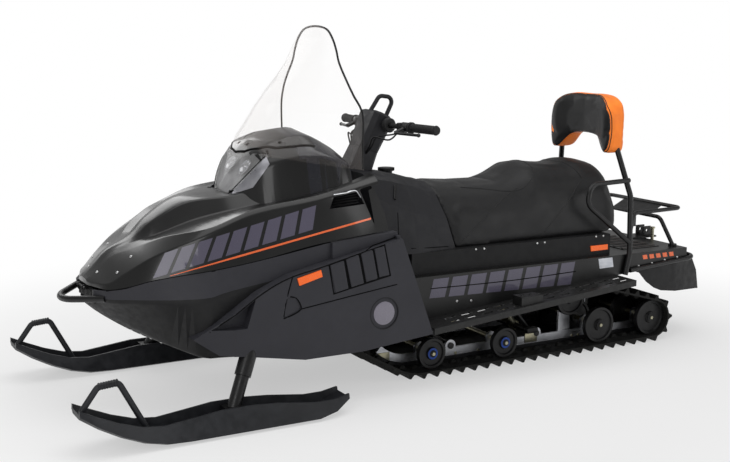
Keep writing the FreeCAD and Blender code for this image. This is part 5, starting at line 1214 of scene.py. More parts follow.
@dataclass
class Bodywork:
    """Hood films, outlets, seams and bolts, and the mouldings of the side panels.

    The blocks, stripe, trims, divider, outlet edge, pocket and louvres are lines in photo pixels, and the
    rest is in millimetres.
    """

    kit: Kit
    blocks_low: Line = ((152.9, 278.6), (316.6, 228.4))
    blocks_high: Line = ((164.9, 252.9), (319.9, 204))
    block_count: int = 9
    block_share: float = 0.78
    stripe: Line = ((169.9, 276.1), (239.5, 256.2), (313.3, 235), (370.8, 218.6))
    stripe_half: float = 1.0
    stripe_tip: float = 0.25
    trim_high: Line = ((231.5, 193.5), (248.9, 175.1), (266.3, 156.7))
    trim_low: Line = ((238, 192.3), (253, 187.6), (269.7, 164.2))
    divider: Line = ((228, 194), (246.8, 174.7), (265.5, 155.5))
    outlet_edge: Line = ((333.2, 194.9), (345, 193), (356.4, 191.2), (363.9, 204))
    outlet_back: tuple[Point, Point] = ((350, 268, 752), (505, 268, 800))
    back_half: float = 2.0
    slat_place: Point = (428, 322, 756)
    slat_count: int = 4
    slat_span: float = 44.0
    slat_shift: float = 4.0
    nose_places: Line = ((1320, 532), (1275, 546), (1217, 597))
    rivet_places: Line = ((1302, 12), (1288, 34), (1256, 64), (1226, 100), (1196, 140))
    reflector: Line = ((684, 519), (587, 542), (581, 516), (676, 491))
    disc: Point = (311, 444.5, 344)
    ridge: Line = ((670, 401), (460, 428), (256, 453))
    pocket: Line = ((292.9, 276.1), (286.8, 299.4), (283.9, 316.8), (286.8, 317.6), (298.4, 311.8),
                    (301.2, 306.8), (296.7, 298.5), (290.6, 296.7))
    louvre_field: Line = ((328.4, 264.5), (385.1, 244.1), (391.1, 275.8), (333.4, 294.7))
    louvre_level: Line = ((324.4, 276.1), (336.5, 301.3), (394.6, 280.8))
    louvres: tuple[Line, ...] = (((329.9, 265.4), (343.3, 260.7), (348, 288.2), (335, 292.7)),
                                 ((345.6, 259.7), (358.2, 255.2), (363.5, 282.8), (351.1, 287.1)),
                                 ((360.7, 254.4), (372.2, 250.4), (377.1, 277.8), (366, 281.9)),
                                 ((374.2, 249.6), (383.4, 246.1), (388.8, 273.5), (379, 277.3)))
    panel_top: Line = ((1016, 346), (926, 411), (818, 479), (712, 524), (573, 553),
                       (349, 607), (249, 632))

    def build(self) -> None:
        """Make every piece of the bodywork."""
        self.films()
        self.outlets()
        self.bolts()
        self.panels()

    def films(self) -> None:
        """Lay the violet blocks, the orange stripe, the silver trims and the amber reflectors."""
        hood = self.kit.made("hood_shell", "headlight_lens")
        panels = self.kit.skin("left_side_panel", "right_side_panel")
        blocks, stripe, amber, trim, cord = Mould(), Mould(), Mould(), Mould(), Mould()
        for number in range(self.block_count):
            lines = [[at_share(line, (number + k * self.block_share / 4) / self.block_count) for k in range(5)]
                     for line in (self.blocks_high, self.blocks_low)]
            hood.patch(blocks, *lines, (5, 8), 0.9)
        tip = self.stripe[0]
        edges = [[(tip[0], tip[1] + side * self.stripe_tip),
                  *((x, y + side * self.stripe_half) for x, y in self.stripe[1:])] for side in (-1, 1)]
        hood.patch(stripe, *edges, (48, 1), 0.8)
        hood.patch(trim, self.trim_high, self.trim_low, (10, 3), 1.2)
        # near-black cord along the line between lens and trim: painted shade in the gap between them
        hood.bead(cord, self.divider, 1.8)
        for sign in SIDES:
            panels.film(amber, self.reflector, sign, (6, 2), 4.0, 2.0)
        blocks.piece("hood_blocks", VIOLET, "hood")
        stripe.piece("hood_stripe", STRIPE, "hood")
        trim.piece("pod_trims", SILVER, "hood")
        cord.piece("pod_dividers", GROOVE, "hood")
        amber.piece("side_reflectors", AMBER, "chassis")

    def outlets(self) -> None:
        """Make the hood's side outlets: dark slats in the openings, bright edges round them, and a near-black
        block behind each opening as painted shade.
        """
        bright, back, slat = Mould(), Mould(), Mould()
        self.kit.made("hood_shell").bead(bright, self.outlet_edge, 2.6, 1.0)
        slat.block((-500, -7, -120), (500, 7, 120))
        slat.bevel(2)
        places = []
        x, y, z = self.slat_place
        for sign in SIDES:
            # near-black block behind the slats: painted shade inside the opening
            back.block(*((a, sign * b + half, c) for (a, b, c), half in zip(self.outlet_back, (
                -self.back_half, self.back_half))))
            for number in range(self.slat_count):
                height = z + (number + 0.6) / self.slat_count * self.slat_span
                places.append((metres((x - self.slat_shift * number, sign * y, height)),
                               Vector((0.08, 0.55 * sign, 0.8)).normalized(), Vector((1, 0, -0.05))))
        self.kit.repeater.set_out("outlet_slats", slat.data("slat"), places, (0.128, 1, 0.012),
                                  DARK_PLASTIC, "hood")
        bright.piece("outlet_edges", CHROME, "hood")
        back.piece("outlet_backs", GROOVE, "hood")

    def bolts(self) -> None:
        """Set the bolts of the nose and the rivets of the belly."""
        hood, pan = self.kit.made("hood_shell"), self.kit.made("belly_pan")
        spots = [hood.side(x, z, sign) for x, z in self.nose_places for sign in SIDES]
        self.kit.heads("nose_bolts", spots, 6.0, 3.0, TURNED, "hood")
        rivets = [pan.hit(metres((x, y * sign, 0.0)), Vector((-0.35, 0, 1)))
                  for x, y in self.rivet_places for sign in SIDES]
        self.kit.heads("belly_rivets", rivets, 5.5, 2.2, TURNED, "chassis")

    def panels(self) -> None:
        """Make the side panels' disc with its ring, near-black cords painted as the shade along their folds and
        pocket, and the louvres over a near-black ground painted as the shade of their recess.
        """
        panels = self.kit.skin("left_side_panel", "right_side_panel")
        disc, ring, folds, ground, slats = Mould(), Mould(), Mould(), Mould(), Mould()
        for sign in SIDES:
            centre = (self.disc[0], sign * self.disc[1], self.disc[2])
            axis = Vector((0, sign, 0))
            disc.turned([(0.01, 0), (46, 0), (46, 1.2), (44, 1.8), (0.01, 1.8)], centre, axis, 48)
            ring.turned([(60, -1), (64, -1), (64, 4), (62, 4.6), (60, 4)], centre, axis, 48)
            # near-black cords along the ridge and the panel's top: painted shade of the folds
            folds.sweep(points([panels.side(x, z, sign) for x, z in self.ridge]), 0.0022, 6)
            top = smooth_path([(x, 0.0, z) for x, z in self.panel_top], 4)
            folds.sweep(points([panels.side(v.x / MM, v.z / MM, sign) for v in top]), 0.0026, 6)
        panels.bead(folds, self.pocket, 2.4, steps=4)
        flat = panels.plane(self.louvre_level)
        a, b, c, d = self.louvre_field
        # near-black ground under the slats: painted shade of the louvres' recess
        panels.patch(ground, (a, b), (d, c), (24, 14), 0.8, probe=flat)
        for a, b, c, d in self.louvres:
            panels.patch(slats, (a, b), (d, c), (8, 8), 5.0, 0.0, probe=flat)
        slats.bevel(1.6)
        ground.piece("louvre_fields", GROOVE, "chassis")
        slats.piece("louvre_slats", PANEL_GREY, "chassis", "charcoal_plastic")
        disc.piece("panel_discs", DISC, "chassis")
        ring.piece("disc_rings", CHARCOAL, "chassis")
        folds.piece("panel_folds", GROOVE, "chassis")


@dataclass
class Lamp:
    """Bright bowls, bulbs and the smoked brow of the headlight. The brow's lines run over the left half."""

    kit: Kit
    centre: Point = (728, 72, 894)
    sphere: float = 45.6
    sunk: float = 33.1
    steps: int = 9
    brow_high: Line = ((500, 160), (570, 152), (622, 132), (655, 92), (680, 45),
                       (686, 0))
    brow_low: Line = ((492, 205), (575, 194), (640, 172), (692, 128), (722, 62),
                      (732, 0))
    brow_steps: int = 40
    screws: Line = ((702, 40), (618, 160))

    def build(self) -> None:
        """Make the bowls, their rims and bulbs."""
        bowls, rims, bulbs = Mould(), Mould(), Mould()
        rim_angle = math.acos(self.sunk / self.sphere)
        arc = [rim_angle * k / self.steps for k in range(self.steps + 1)]
        face = [(self.sphere * math.sin(a) + 0.01, self.sunk - self.sphere * math.cos(a)) for a in arc]
        wide = face[-1][0]
        for sign in SIDES:
            centre = (self.centre[0], self.centre[1] * sign, self.centre[2])
            bowls.turned(face + [(r, h + 0.8) for r, h in reversed(face)], centre, LENS_NORMAL, 40)
            rims.turned([(wide - 1.0, 0.0), (wide + 5.0, 0.0), (wide + 5.0, 2.0), (wide + 1.0, 4.0),
                         (wide - 1.0, 3.0)], centre, LENS_NORMAL, 40)
            bulbs.turned([(0.01, -11), (9, -11), (9, 2), (5, 6), (0.01, 7)], centre,
                         LENS_NORMAL, 20)
        bowls.piece("lamp_bowls", BOWL, "hood", "reflector")
        rims.piece("lamp_rims", CHROME, "hood", "reflector")
        bulbs.piece("lamp_bulbs", BOWL, "hood", "reflector")
        self.brow()

    def brow(self) -> None:
        """Lay the smoked brow over the lens, with a near-black cord under it as painted shade, and its screws.
        """
        pod = self.kit.made("hood_shell", "headlight_lens")
        brow, gap = Mould(), Mould()
        high, low = ([*line, *((x, -y) for x, y in line[-2::-1])] for line in (self.brow_high, self.brow_low))
        pod.patch(brow, high, low, (self.brow_steps, 4), 3.0, 1.0, False, lambda spot: pod.above(*spot))
        edge = [at_share(low, k / self.brow_steps) for k in range(self.brow_steps + 1)]
        # near-black cord just below the brow's edge: painted shade under the brow
        gap.sweep(points([pod.above(x + 3.0, y * 1.02) for x, y in edge]), 0.0045, 8)
        gap.piece("brow_gap", GROOVE, "hood")
        spots = [pod.above(x, y * sign) for x, y in self.screws for sign in SIDES]
        self.kit.heads("brow_screws", [(p + n * 0.002, n) for p, n in filter(None, spots)], 8.0, 4.0, GROOVE,
                       "hood")
        brow.piece("lamp_brow", SMOKED, "hood")


@dataclass
class Screen:
    """Edge trim of the windshield, from its left foot to the top."""

    kit: Kit
    edge: Path = ((361, 360, 900), (364, 362, 944), (366, 366, 1000),
                  (368, 364, 1110), (381, 315, 1178), (386, 270, 1230),
                  (387, 210, 1296), (387, 185, 1346), (387, 152, 1391),
                  (386, 98, 1426), (388, 0, 1437))
    radius: float = 0.0042

    def build(self) -> None:
        """Run the black edge trim round the sheet."""
        mould = Mould()
        whole = [*self.edge, *((x, -y, z) for x, y, z in self.edge[-2::-1])]
        mould.sweep(smooth_path(whole, 6), self.radius, 8)
        mould.piece("screen_edge", DARK_PLASTIC, "hood")


SEAT_STATIONS: list[Station] = [
    (-40, [(0, 804), (110, 798), (172, 764), (232, 655), (262, 530)]),
    (-150, [(0, 790), (112, 786), (170, 752), (228, 650), (256, 530)]),
    (-300, [(0, 781), (113, 776), (170, 744), (224, 650), (252, 530)]),
    (-420, [(0, 780), (114, 778), (172, 748), (222, 650), (250, 530)]),
    (-500, [(0, 796), (113, 796), (172, 758), (222, 650), (250, 530)]),
    (-560, [(0, 832), (112, 824), (174, 774), (223, 655), (250, 530)]),
    (-605, [(0, 853), (112, 843), (176, 788), (224, 660), (250, 530)]),
    (-700, [(0, 840), (114, 834), (180, 784), (226, 660), (250, 530)]),
    (-800, [(0, 832), (116, 826), (182, 786), (226, 660), (250, 530)]),
    (-900, [(0, 850), (116, 842), (184, 796), (226, 660), (247, 530)]),
    (-960, [(0, 846), (115, 838), (182, 792), (224, 660), (242, 530)]),
    (-1010, [(0, 818), (112, 810), (175, 768), (214, 660), (228, 536)]),
    (-1042, [(0, 762), (104, 754), (164, 724), (203, 650), (213, 552)]),
    (-1060, [(0, 700), (92, 696), (146, 680), (182, 640), (188, 600)])]


@dataclass
class Upholstery:
    """Seat and backrest: padded pieces, swelled by a cloth simulation, with sewn seams."""

    kit: Kit
    seat_voxel: float = 0.0095
    back_voxel: float = 0.0055
    tuck: float = 4.0
    seam: float = 0.0021
    front_cut: Line = ((-60, 900), (-148, 520), (60, 520), (60, 900))
    side_seams: tuple[Line, ...] = (
        ((-516, 750), (-409, 701), (-276, 621), (-165, 548)),
        ((-858, 768), (-777, 698), (-693, 628), (-613, 560)))
    top_seams: tuple[Line, ...] = (
        ((-250, 118), (-338, 135), (-430, 160), (-515, 172), (-577, 166), (-623, 138),
         (-641, 71), (-644, 0)),
        ((-835, 0), (-838, 50), (-852, 130), (-860, 176)))
    back_outline: Line = (
        (0, 1147), (95, 1146), (150, 1134), (192, 1103), (217, 1057), (223, 1007),
        (220, 947), (208, 896), (186, 878), (160, 888), (128, 924), (96, 948),
        (50, 957), (0, 958))
    back_front: Line = ((0, -1012), (90, -1008), (150, -986), (188, -970), (230, -980))
    back_rear: Line = ((0, -1097), (180, -1097), (230, -1072))
    back_centre: Flat = (0, 1040)
    back_stages: Line = (
        (0.02, 1), (0.5, 1), (0.82, 0.99), (0.92, 0.93), (0.965, 0.8), (0.985, 0.5), (0.985, -0.5),
        (0.965, -0.8), (0.92, -0.93), (0.82, -0.99), (0.5, -1), (0.02, -1))
    orange_depth: float = 13.0
    pressure: float = 3.0
    most_move: float = 0.005
    held_height: float = 0.012
    last_frame: int = 20

    def build(self) -> None:
        """Make the seat and the backrest."""
        self.seat()
        self.backrest()

    def apply(self, piece: Object) -> None:
        """Turn a piece's modifiers into its mesh."""
        mesh = evaluated(piece)
        piece.modifiers.clear()
        piece.data = mesh

    def swell(self, piece: Object, voxel: float) -> None:
        """Fill a closed shape like a cushion and apply the result.

        Args:
            piece: Closed piece, which is remeshed.
            voxel: Size of the new faces in metres.
        """
        remesh = piece.modifiers.new("even", "REMESH")
        remesh.mode = "VOXEL"
        remesh.voxel_size = voxel
        even = piece.modifiers.new("even_out", "SMOOTH")
        even.factor = 0.5
        even.iterations = 3
        self.apply(piece)
        rest = [v.co.copy() for v in piece.data.vertices]
        floor = min(v.z for v in rest)
        group = piece.vertex_groups.new(name="held")
        group.add([k for k, v in enumerate(rest) if v.z < floor + self.held_height], 1.0, "REPLACE")
        cloth = piece.modifiers.new("cloth", "CLOTH")
        cloth.settings.use_pressure = True
        cloth.settings.uniform_pressure_force = self.pressure
        cloth.settings.effector_weights.gravity = 0.0
        cloth.settings.vertex_group_mass = "held"
        cloth.settings.tension_stiffness = 18.0
        cloth.settings.compression_stiffness = 18.0
        cloth.settings.quality = 5
        for frame in range(1, self.last_frame + 1):
            bpy.context.scene.frame_set(frame)
        self.apply(piece)
        bpy.context.scene.frame_set(1)
        for vertex, start in zip(piece.data.vertices, rest):
            move = vertex.co - start
            if move.length > self.most_move:
                vertex.co = start + move.normalized() * self.most_move
        piece.vertex_groups.clear()
        smooth = piece.modifiers.new("smooth", "SMOOTH")
        smooth.factor = 0.5
        smooth.iterations = 5
        finer = piece.modifiers.new("finer", "SUBSURF")
        finer.levels = finer.render_levels = 1
        self.apply(piece)
        for face in piece.data.polygons:
            face.use_smooth = True

    def seat(self) -> None:
        """Make the long two-up seat."""
        tucked = [(x, inset(outline, self.tuck)) for x, outline in SEAT_STATIONS]
        whole = Shell(tucked, corner=34.0).solid()
        body = combined(whole, wedge(self.front_cut, -400.0, 400.0), Joining.CUT)
        piece = place(body, "seat_cover", SEAT, "chassis")
        self.swell(piece, self.seat_voxel)
        dressed(piece.data, SEAT)
        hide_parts("seat_cushion")
        LOG.info("seat_cover: %d faces after simulation", len(piece.data.polygons))
        skin = Skin(piece.data)
        mould = Mould()
        for sign in SIDES:
            for line in self.side_seams:
                path = smooth_path([(x, 0.0, z) for x, z in line], 14)
                mould.sweep(points([skin.side(v.x / MM, v.z / MM, sign) for v in path]), self.seam, 6)
            for line in self.top_seams:
                path = smooth_path([(x, y, 0.0) for x, y in line], 10)
                mould.sweep(points([skin.above(v.x / MM, v.y * sign / MM) for v in path]), self.seam, 6)
        mould.piece("seat_seams", PIPING, "chassis", "seat_vinyl")

    def depth_at(self, table: Line, y: float) -> float:
        """Return the length of the backrest's front or rear at a place across it."""
        for (y0, x0), (y1, x1) in zip(table, table[1:]):
            if abs(y) <= y1:
                return x0 + (x1 - x0) * (abs(y) - y0) / (y1 - y0)
        return table[-1][1]

    def backrest(self) -> None:
        """Make the backrest: a winged pad with an arch under it, black in front and orange round it."""
        whole = [*self.back_outline, *((-y, z) for y, z in self.back_outline[-2:0:-1])]
        line = smooth_path([(0.0, y, z) for y, z in whole], 4, closed=True)
        centre = metres((0.0, *self.back_centre))
        mould = Mould()
        rings = []
        for scale, share in self.back_stages:
            ring = []
            for point in line:
                spot = centre + (point - centre) * scale
                front, rear = (self.depth_at(t, spot.y / MM) for t in (self.back_front, self.back_rear))
                front, rear = front - self.tuck, rear + self.tuck
                ring.append(Vector((((front + rear) + (front - rear) * share) / 2 * MM, spot.y, spot.z)))
            rings.append(ring)
        mould.loft(rings)
        piece = mould.piece("backrest_cover", BACK, "chassis", "backrest_vinyl")
        self.swell(piece, self.back_voxel)
        dressed(piece.data, BACK, ORANGE)
        for face in piece.data.polygons:
            back = self.depth_at(self.back_front, face.center.y / MM) - face.center.x / MM
            face.material_index = int(back > self.orange_depth)
        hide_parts("backrest_pad")
        LOG.info("backrest_cover: %d faces after simulation", len(piece.data.polygons))
        skin = Skin(piece.data)
        cord = []
        for point in line:
            front = self.depth_at(self.back_front, point.y / MM) - self.orange_depth + 3.0
            cord.append(skin.tree.find_nearest(Vector((front * MM, point.y * 1.01, point.z)))[0])
        mould = Mould()
        mould.sweep(cord, 0.0022, 6, closed=True)
        mould.piece("backrest_cord", PIPING, "chassis", "backrest_vinyl")


@dataclass
class Track:
    """Drive lugs inside the belt, wheel hubs, seals and the small hardware of the skid."""

    kit: Kit
    small: Line = ((-25, 93.3), (-397, 93.3))
    large: Line = ((-923, 109.3), (-1228, 109.3))
    guides: Path = ((-1228, 109.3, 82.3), (-797, 235, 78.3), (423, 310, 88.3), (40, 257, 230))
    lug_rows: Flat = (230, 132)
    lug_count: int = 62
    lug_section: Line = ((-0.5, 0), (0.5, 0), (0.3, 0.8), (0.15, 1), (-0.15, 1), (-0.3, 0.8))
    lug_size: Point = (0.034, 0.016, 0.015)
    wheel_face: float = 272.0
    hub_radii: Flat = (15, 20)
    rail_pixels: Line = (
        (455.4, 352.7), (478, 349.9), (449.6, 334.5), (465, 342.6), (576.2, 297.4), (571.7, 335.2),
        (578, 334.5), (601.5, 302.4), (530, 343), (556, 340.5))
    plate_places: Line = ((160, 74), (-610, 66))
    plate_half: Flat = (34, 22)
    plate_span: Flat = (171, 174.5)
    block_span: Flat = (160, 186)
    block_box: tuple[Flat, Flat] = ((-640, 88), (-580, 112))

    def build(self) -> None:
        """Make the lugs, the hubs and seals, the rails' bolts and plates."""
        self.lugs()
        self.hubs()
        self.rail_hardware()

    def loop(self) -> list[Vector]:
        """Return the belt's inner line: the shortest loop round its guides."""
        spots = sorted((round(x + r * math.cos(a), 3), round(z + r * math.sin(a), 3))
                       for x, z, r in self.guides for a in (math.radians(k * 2) for k in range(180)))
        halves = []
        for order in (spots, spots[::-1]):
            half: list[Flat] = []
            for spot in order:
                while len(half) > 1 and ((half[-1][0] - half[-2][0]) * (spot[1] - half[-2][1])
                                         <= (half[-1][1] - half[-2][1]) * (spot[0] - half[-2][0])):
                    half.pop()
                half.append(spot)
            halves += half[:-1]
        return [metres((x, 0.0, z)) for x, z in halves]

    def lugs(self) -> None:
        """Set the drive lugs round the inside of the belt at its pitch."""
        line = self.loop()
        line.append(line[0])
        lengths = [(b - a).length for a, b in zip(line, line[1:])]
        pitch = sum(lengths) / self.lug_count
        lug = Mould()
        lug.prism([Vector((x, -0.5, z)) for x, z in self.lug_section], Vector((0, 1, 0)))
        places = []
        number, gone = 0, 0.0
        for step in range(self.lug_count):
            while gone + lengths[number] < step * pitch:
                gone += lengths[number]
                number += 1
            way = (line[number + 1] - line[number]).normalized()
            spot = line[number] + way * (step * pitch - gone)
            inward = Vector((-way.z, 0.0, way.x))
            for row in self.lug_rows:
                for sign in SIDES:
                    places.append((spot + Vector((0, row * sign * MM, 0)) - inward * 0.001, inward, way))
        self.kit.repeater.set_out("drive_lugs", lug.data("lug"), places, self.lug_size, TRACK_RUBBER,
                                  "chassis", "track_rubber")

    def hubs(self) -> None:
        """Make the wheels' hub caps, bolts and blue seals."""
        hubs, seals, bolts = Mould(), Mould(), []
        for sign in SIDES:
            axis = Vector((0, sign, 0))
            for x, z in self.small + self.large:
                wide = self.hub_radii[(x, z) in self.large]
                hubs.turned([(0.01, 0), (wide, 0.0), (wide, 4.0), (wide - 4.0, 6.0), (0.01, 6)],
                            (x, sign * self.wheel_face, z), axis, 24)
                bolts.append((metres((x, sign * (self.wheel_face + 6.0), z)), axis))
            for x, z in self.small:
                seals.turned([(16, 0), (24, 0), (24, 2.5), (20, 3.5), (16, 3)],
                             (x, sign * self.wheel_face, z), axis, 28)
        hubs.piece("wheel_hubs", DARK_PLASTIC, "chassis", "wheel_black")
        seals.piece("wheel_seals", BLUE, "chassis")
        self.kit.heads("hub_bolts", bolts, 8.5, 5.0, ZINC, "chassis", Head.HEX, "zinc_steel")

    def rail_hardware(self) -> None:
        """Bolt the rails at places seen in the photo, and set their plates and the blocks above them."""
        rails = self.kit.skin("slide_rails", "rear_arm", "front_arm")
        self.kit.heads("rail_bolts", rails.seen_all(self.rail_pixels), 6.5, 4.0, ZINC, "chassis", Head.HEX,
                       "zinc_steel")
        plates, blocks = Mould(), Mould()
        wide, high = self.plate_half
        (x0, z0), (x1, z1) = self.block_box
        for sign in SIDES:
            near, far = sorted(sign * y for y in self.plate_span)
            for x, z in self.plate_places:
                plates.block((x - wide, near, z - high), (x + wide, far, z + high))
            near, far = sorted(sign * y for y in self.block_span)
            blocks.block((x0, near, z0), (x1, far, z1))
        plates.bevel(1.5)
        blocks.bevel(3)
        plates.piece("rail_plates", ZINC, "chassis", "zinc_steel")
        blocks.piece("rail_blocks", WHEEL_BLACK, "chassis", "wheel_black")


@dataclass
class Tunnel:
    """Films, bolts and small parts of the tunnel, the seat base, the boards and the cargo deck."""

    kit: Kit
    film_low: Line = ((28, 346), (-722, 330))
    film_high: Line = ((8, 424), (-744, 430))
    block_count: int = 8
    block_share: float = 0.8
    groove: Line = ((22, 386), (-380, 380), (-730, 386))
    groove_width: float = 4.0
    bar: Line = ((-1120, 404), (-1146, 404), (-1140, 424), (-1114, 424))
    bar_count: int = 5
    bar_pitch: float = 40.0
    plate: Line = ((-855, 430), (-935, 430), (-944, 386), (-864, 385))
    side_bolts: Line = ((-108, 319), (-179, 314), (-1095, 375), (-1174, 381),
                        (-1252, 389), (-1328, 395))
    base_rivets: Line = ((-222, 522), (-264, 521), (-542, 521), (-582, 521), (-868, 524),
                         (-910, 524))
    base_reflector: Line = ((-837, 484), (-934, 484), (-935, 461), (-841, 460))
    rib_count: int = 9
    rib_pitch: float = 54.0
    rib_place: Flat = (-1182, 439.6)
    slot_box: tuple[Point, Point] = ((-1270, -5, 439.8), (-1095, 5, 440.5))
    tooth_count: int = 22
    tooth_start: float = -930.0
    tooth_pitch: float = 41.0
    tooth_rows: Line = ((362, 0), (412, 20))

    def build(self) -> None:
        """Make every piece of the tunnel and its deck."""
        self.side()
        self.base()
        self.deck()
        self.boards()

    def side(self) -> None:
        """Lay the violet blocks, the orange bars and the plates on the tunnel's sides and set its bolts."""
        skin = self.kit.skin("tunnel")
        violet, orange, groove, plate = Mould(), Mould(), Mould(), Mould()
        bolts = []
        for sign in SIDES:
            for number in range(self.block_count):
                shares = [(number + part) / self.block_count for part in (0.0, self.block_share)]
                foot, head = ([at_share(line, v) for v in shares] for line in (self.film_low, self.film_high))
                skin.film(violet, [*foot, *head[::-1]], sign, (3, 3), 0.6)
            # near-black ribbon along the groove: painted shade in it
            skin.ribbon(groove, self.groove, self.groove_width, sign, 1.2)
            for number in range(self.bar_count):
                skin.film(orange, [(x - self.bar_pitch * number, z) for x, z in self.bar], sign, (2, 2), 0.6)
            skin.film(plate, self.plate, sign, (2, 2), 1.2)
            bolts += [skin.side(x, z, sign) for x, z in self.side_bolts]
        violet.piece("tunnel_blocks", VIOLET, "chassis")
        groove.piece("tunnel_groove", GROOVE, "chassis")
        orange.piece("deck_bars", STRIPE, "chassis")
        plate.piece("blank_plates", PLATE, "chassis")
        self.kit.heads("tunnel_bolts", bolts, 6.0, 2.6, TURNED, "chassis")

    def base(self) -> None:
        """Rivet the seat base and fix its reflectors."""
        skin = self.kit.skin("seat_base")
        amber = Mould()
        rivets = []
        for sign in SIDES:
            rivets += [skin.side(x, z, sign) for x, z in self.base_rivets]
            skin.film(amber, self.base_reflector, sign, (2, 2), 4.0)
        amber.piece("base_reflectors", AMBER, "chassis")
        self.kit.heads("base_rivets", rivets, 5.0, 2.4, TURNED, "chassis")

    def deck(self) -> None:
        """Rib the cargo deck and lay thin near-black strips between its ribs, painted as the shade in its
        slots.
        """
        rib, slots = Mould(), Mould()
        rib.block((-500, -500, 0), (500, 500, 1000))
        rib.bevel(120)
        across = [(number - (self.rib_count - 1) / 2) * self.rib_pitch for number in range(self.rib_count)]
        x, z = self.rib_place
        ribs = [(metres((x, y, z)), UP, Vector((1, 0, 0))) for y in across]
        self.kit.repeater.set_out("deck_ribs", rib.data("rib"), ribs, (0.2, 0.012, 0.003), DECK, "chassis")
        for y in across[:-1]:
            middle = y + self.rib_pitch / 2
            slots.block(*((a, b + middle, c) for a, b, c in self.slot_box))
        slots.piece("deck_slots", GROOVE, "chassis")

    def boards(self) -> None:
        """Raise the gripping teeth on the running boards."""
        tooth = Mould()
        tooth.turned([(0.5, 0), (1, 0), (0.75, 1), (0.5, 1)], (0, 0, 0), UP, 12)
        tooth.mesh.transform(Matrix.Scale(1.0 / MM, 4))
        skin = self.kit.skin("left_running_board", "right_running_board")
        places = []
        for number in range(self.tooth_count):
            for row, shift in self.tooth_rows:
                for sign in SIDES:
                    spot = skin.above(self.tooth_start + self.tooth_pitch * number + shift, row * sign)
                    if spot and spot[1].z > 0.9:
                        places.append((*spot, Vector((1, 0, 0))))
        self.kit.repeater.set_out("board_teeth", tooth.data("tooth"), places, (0.009, 0.009, 0.003), SHEET,
                                  "chassis", "board_sheet")


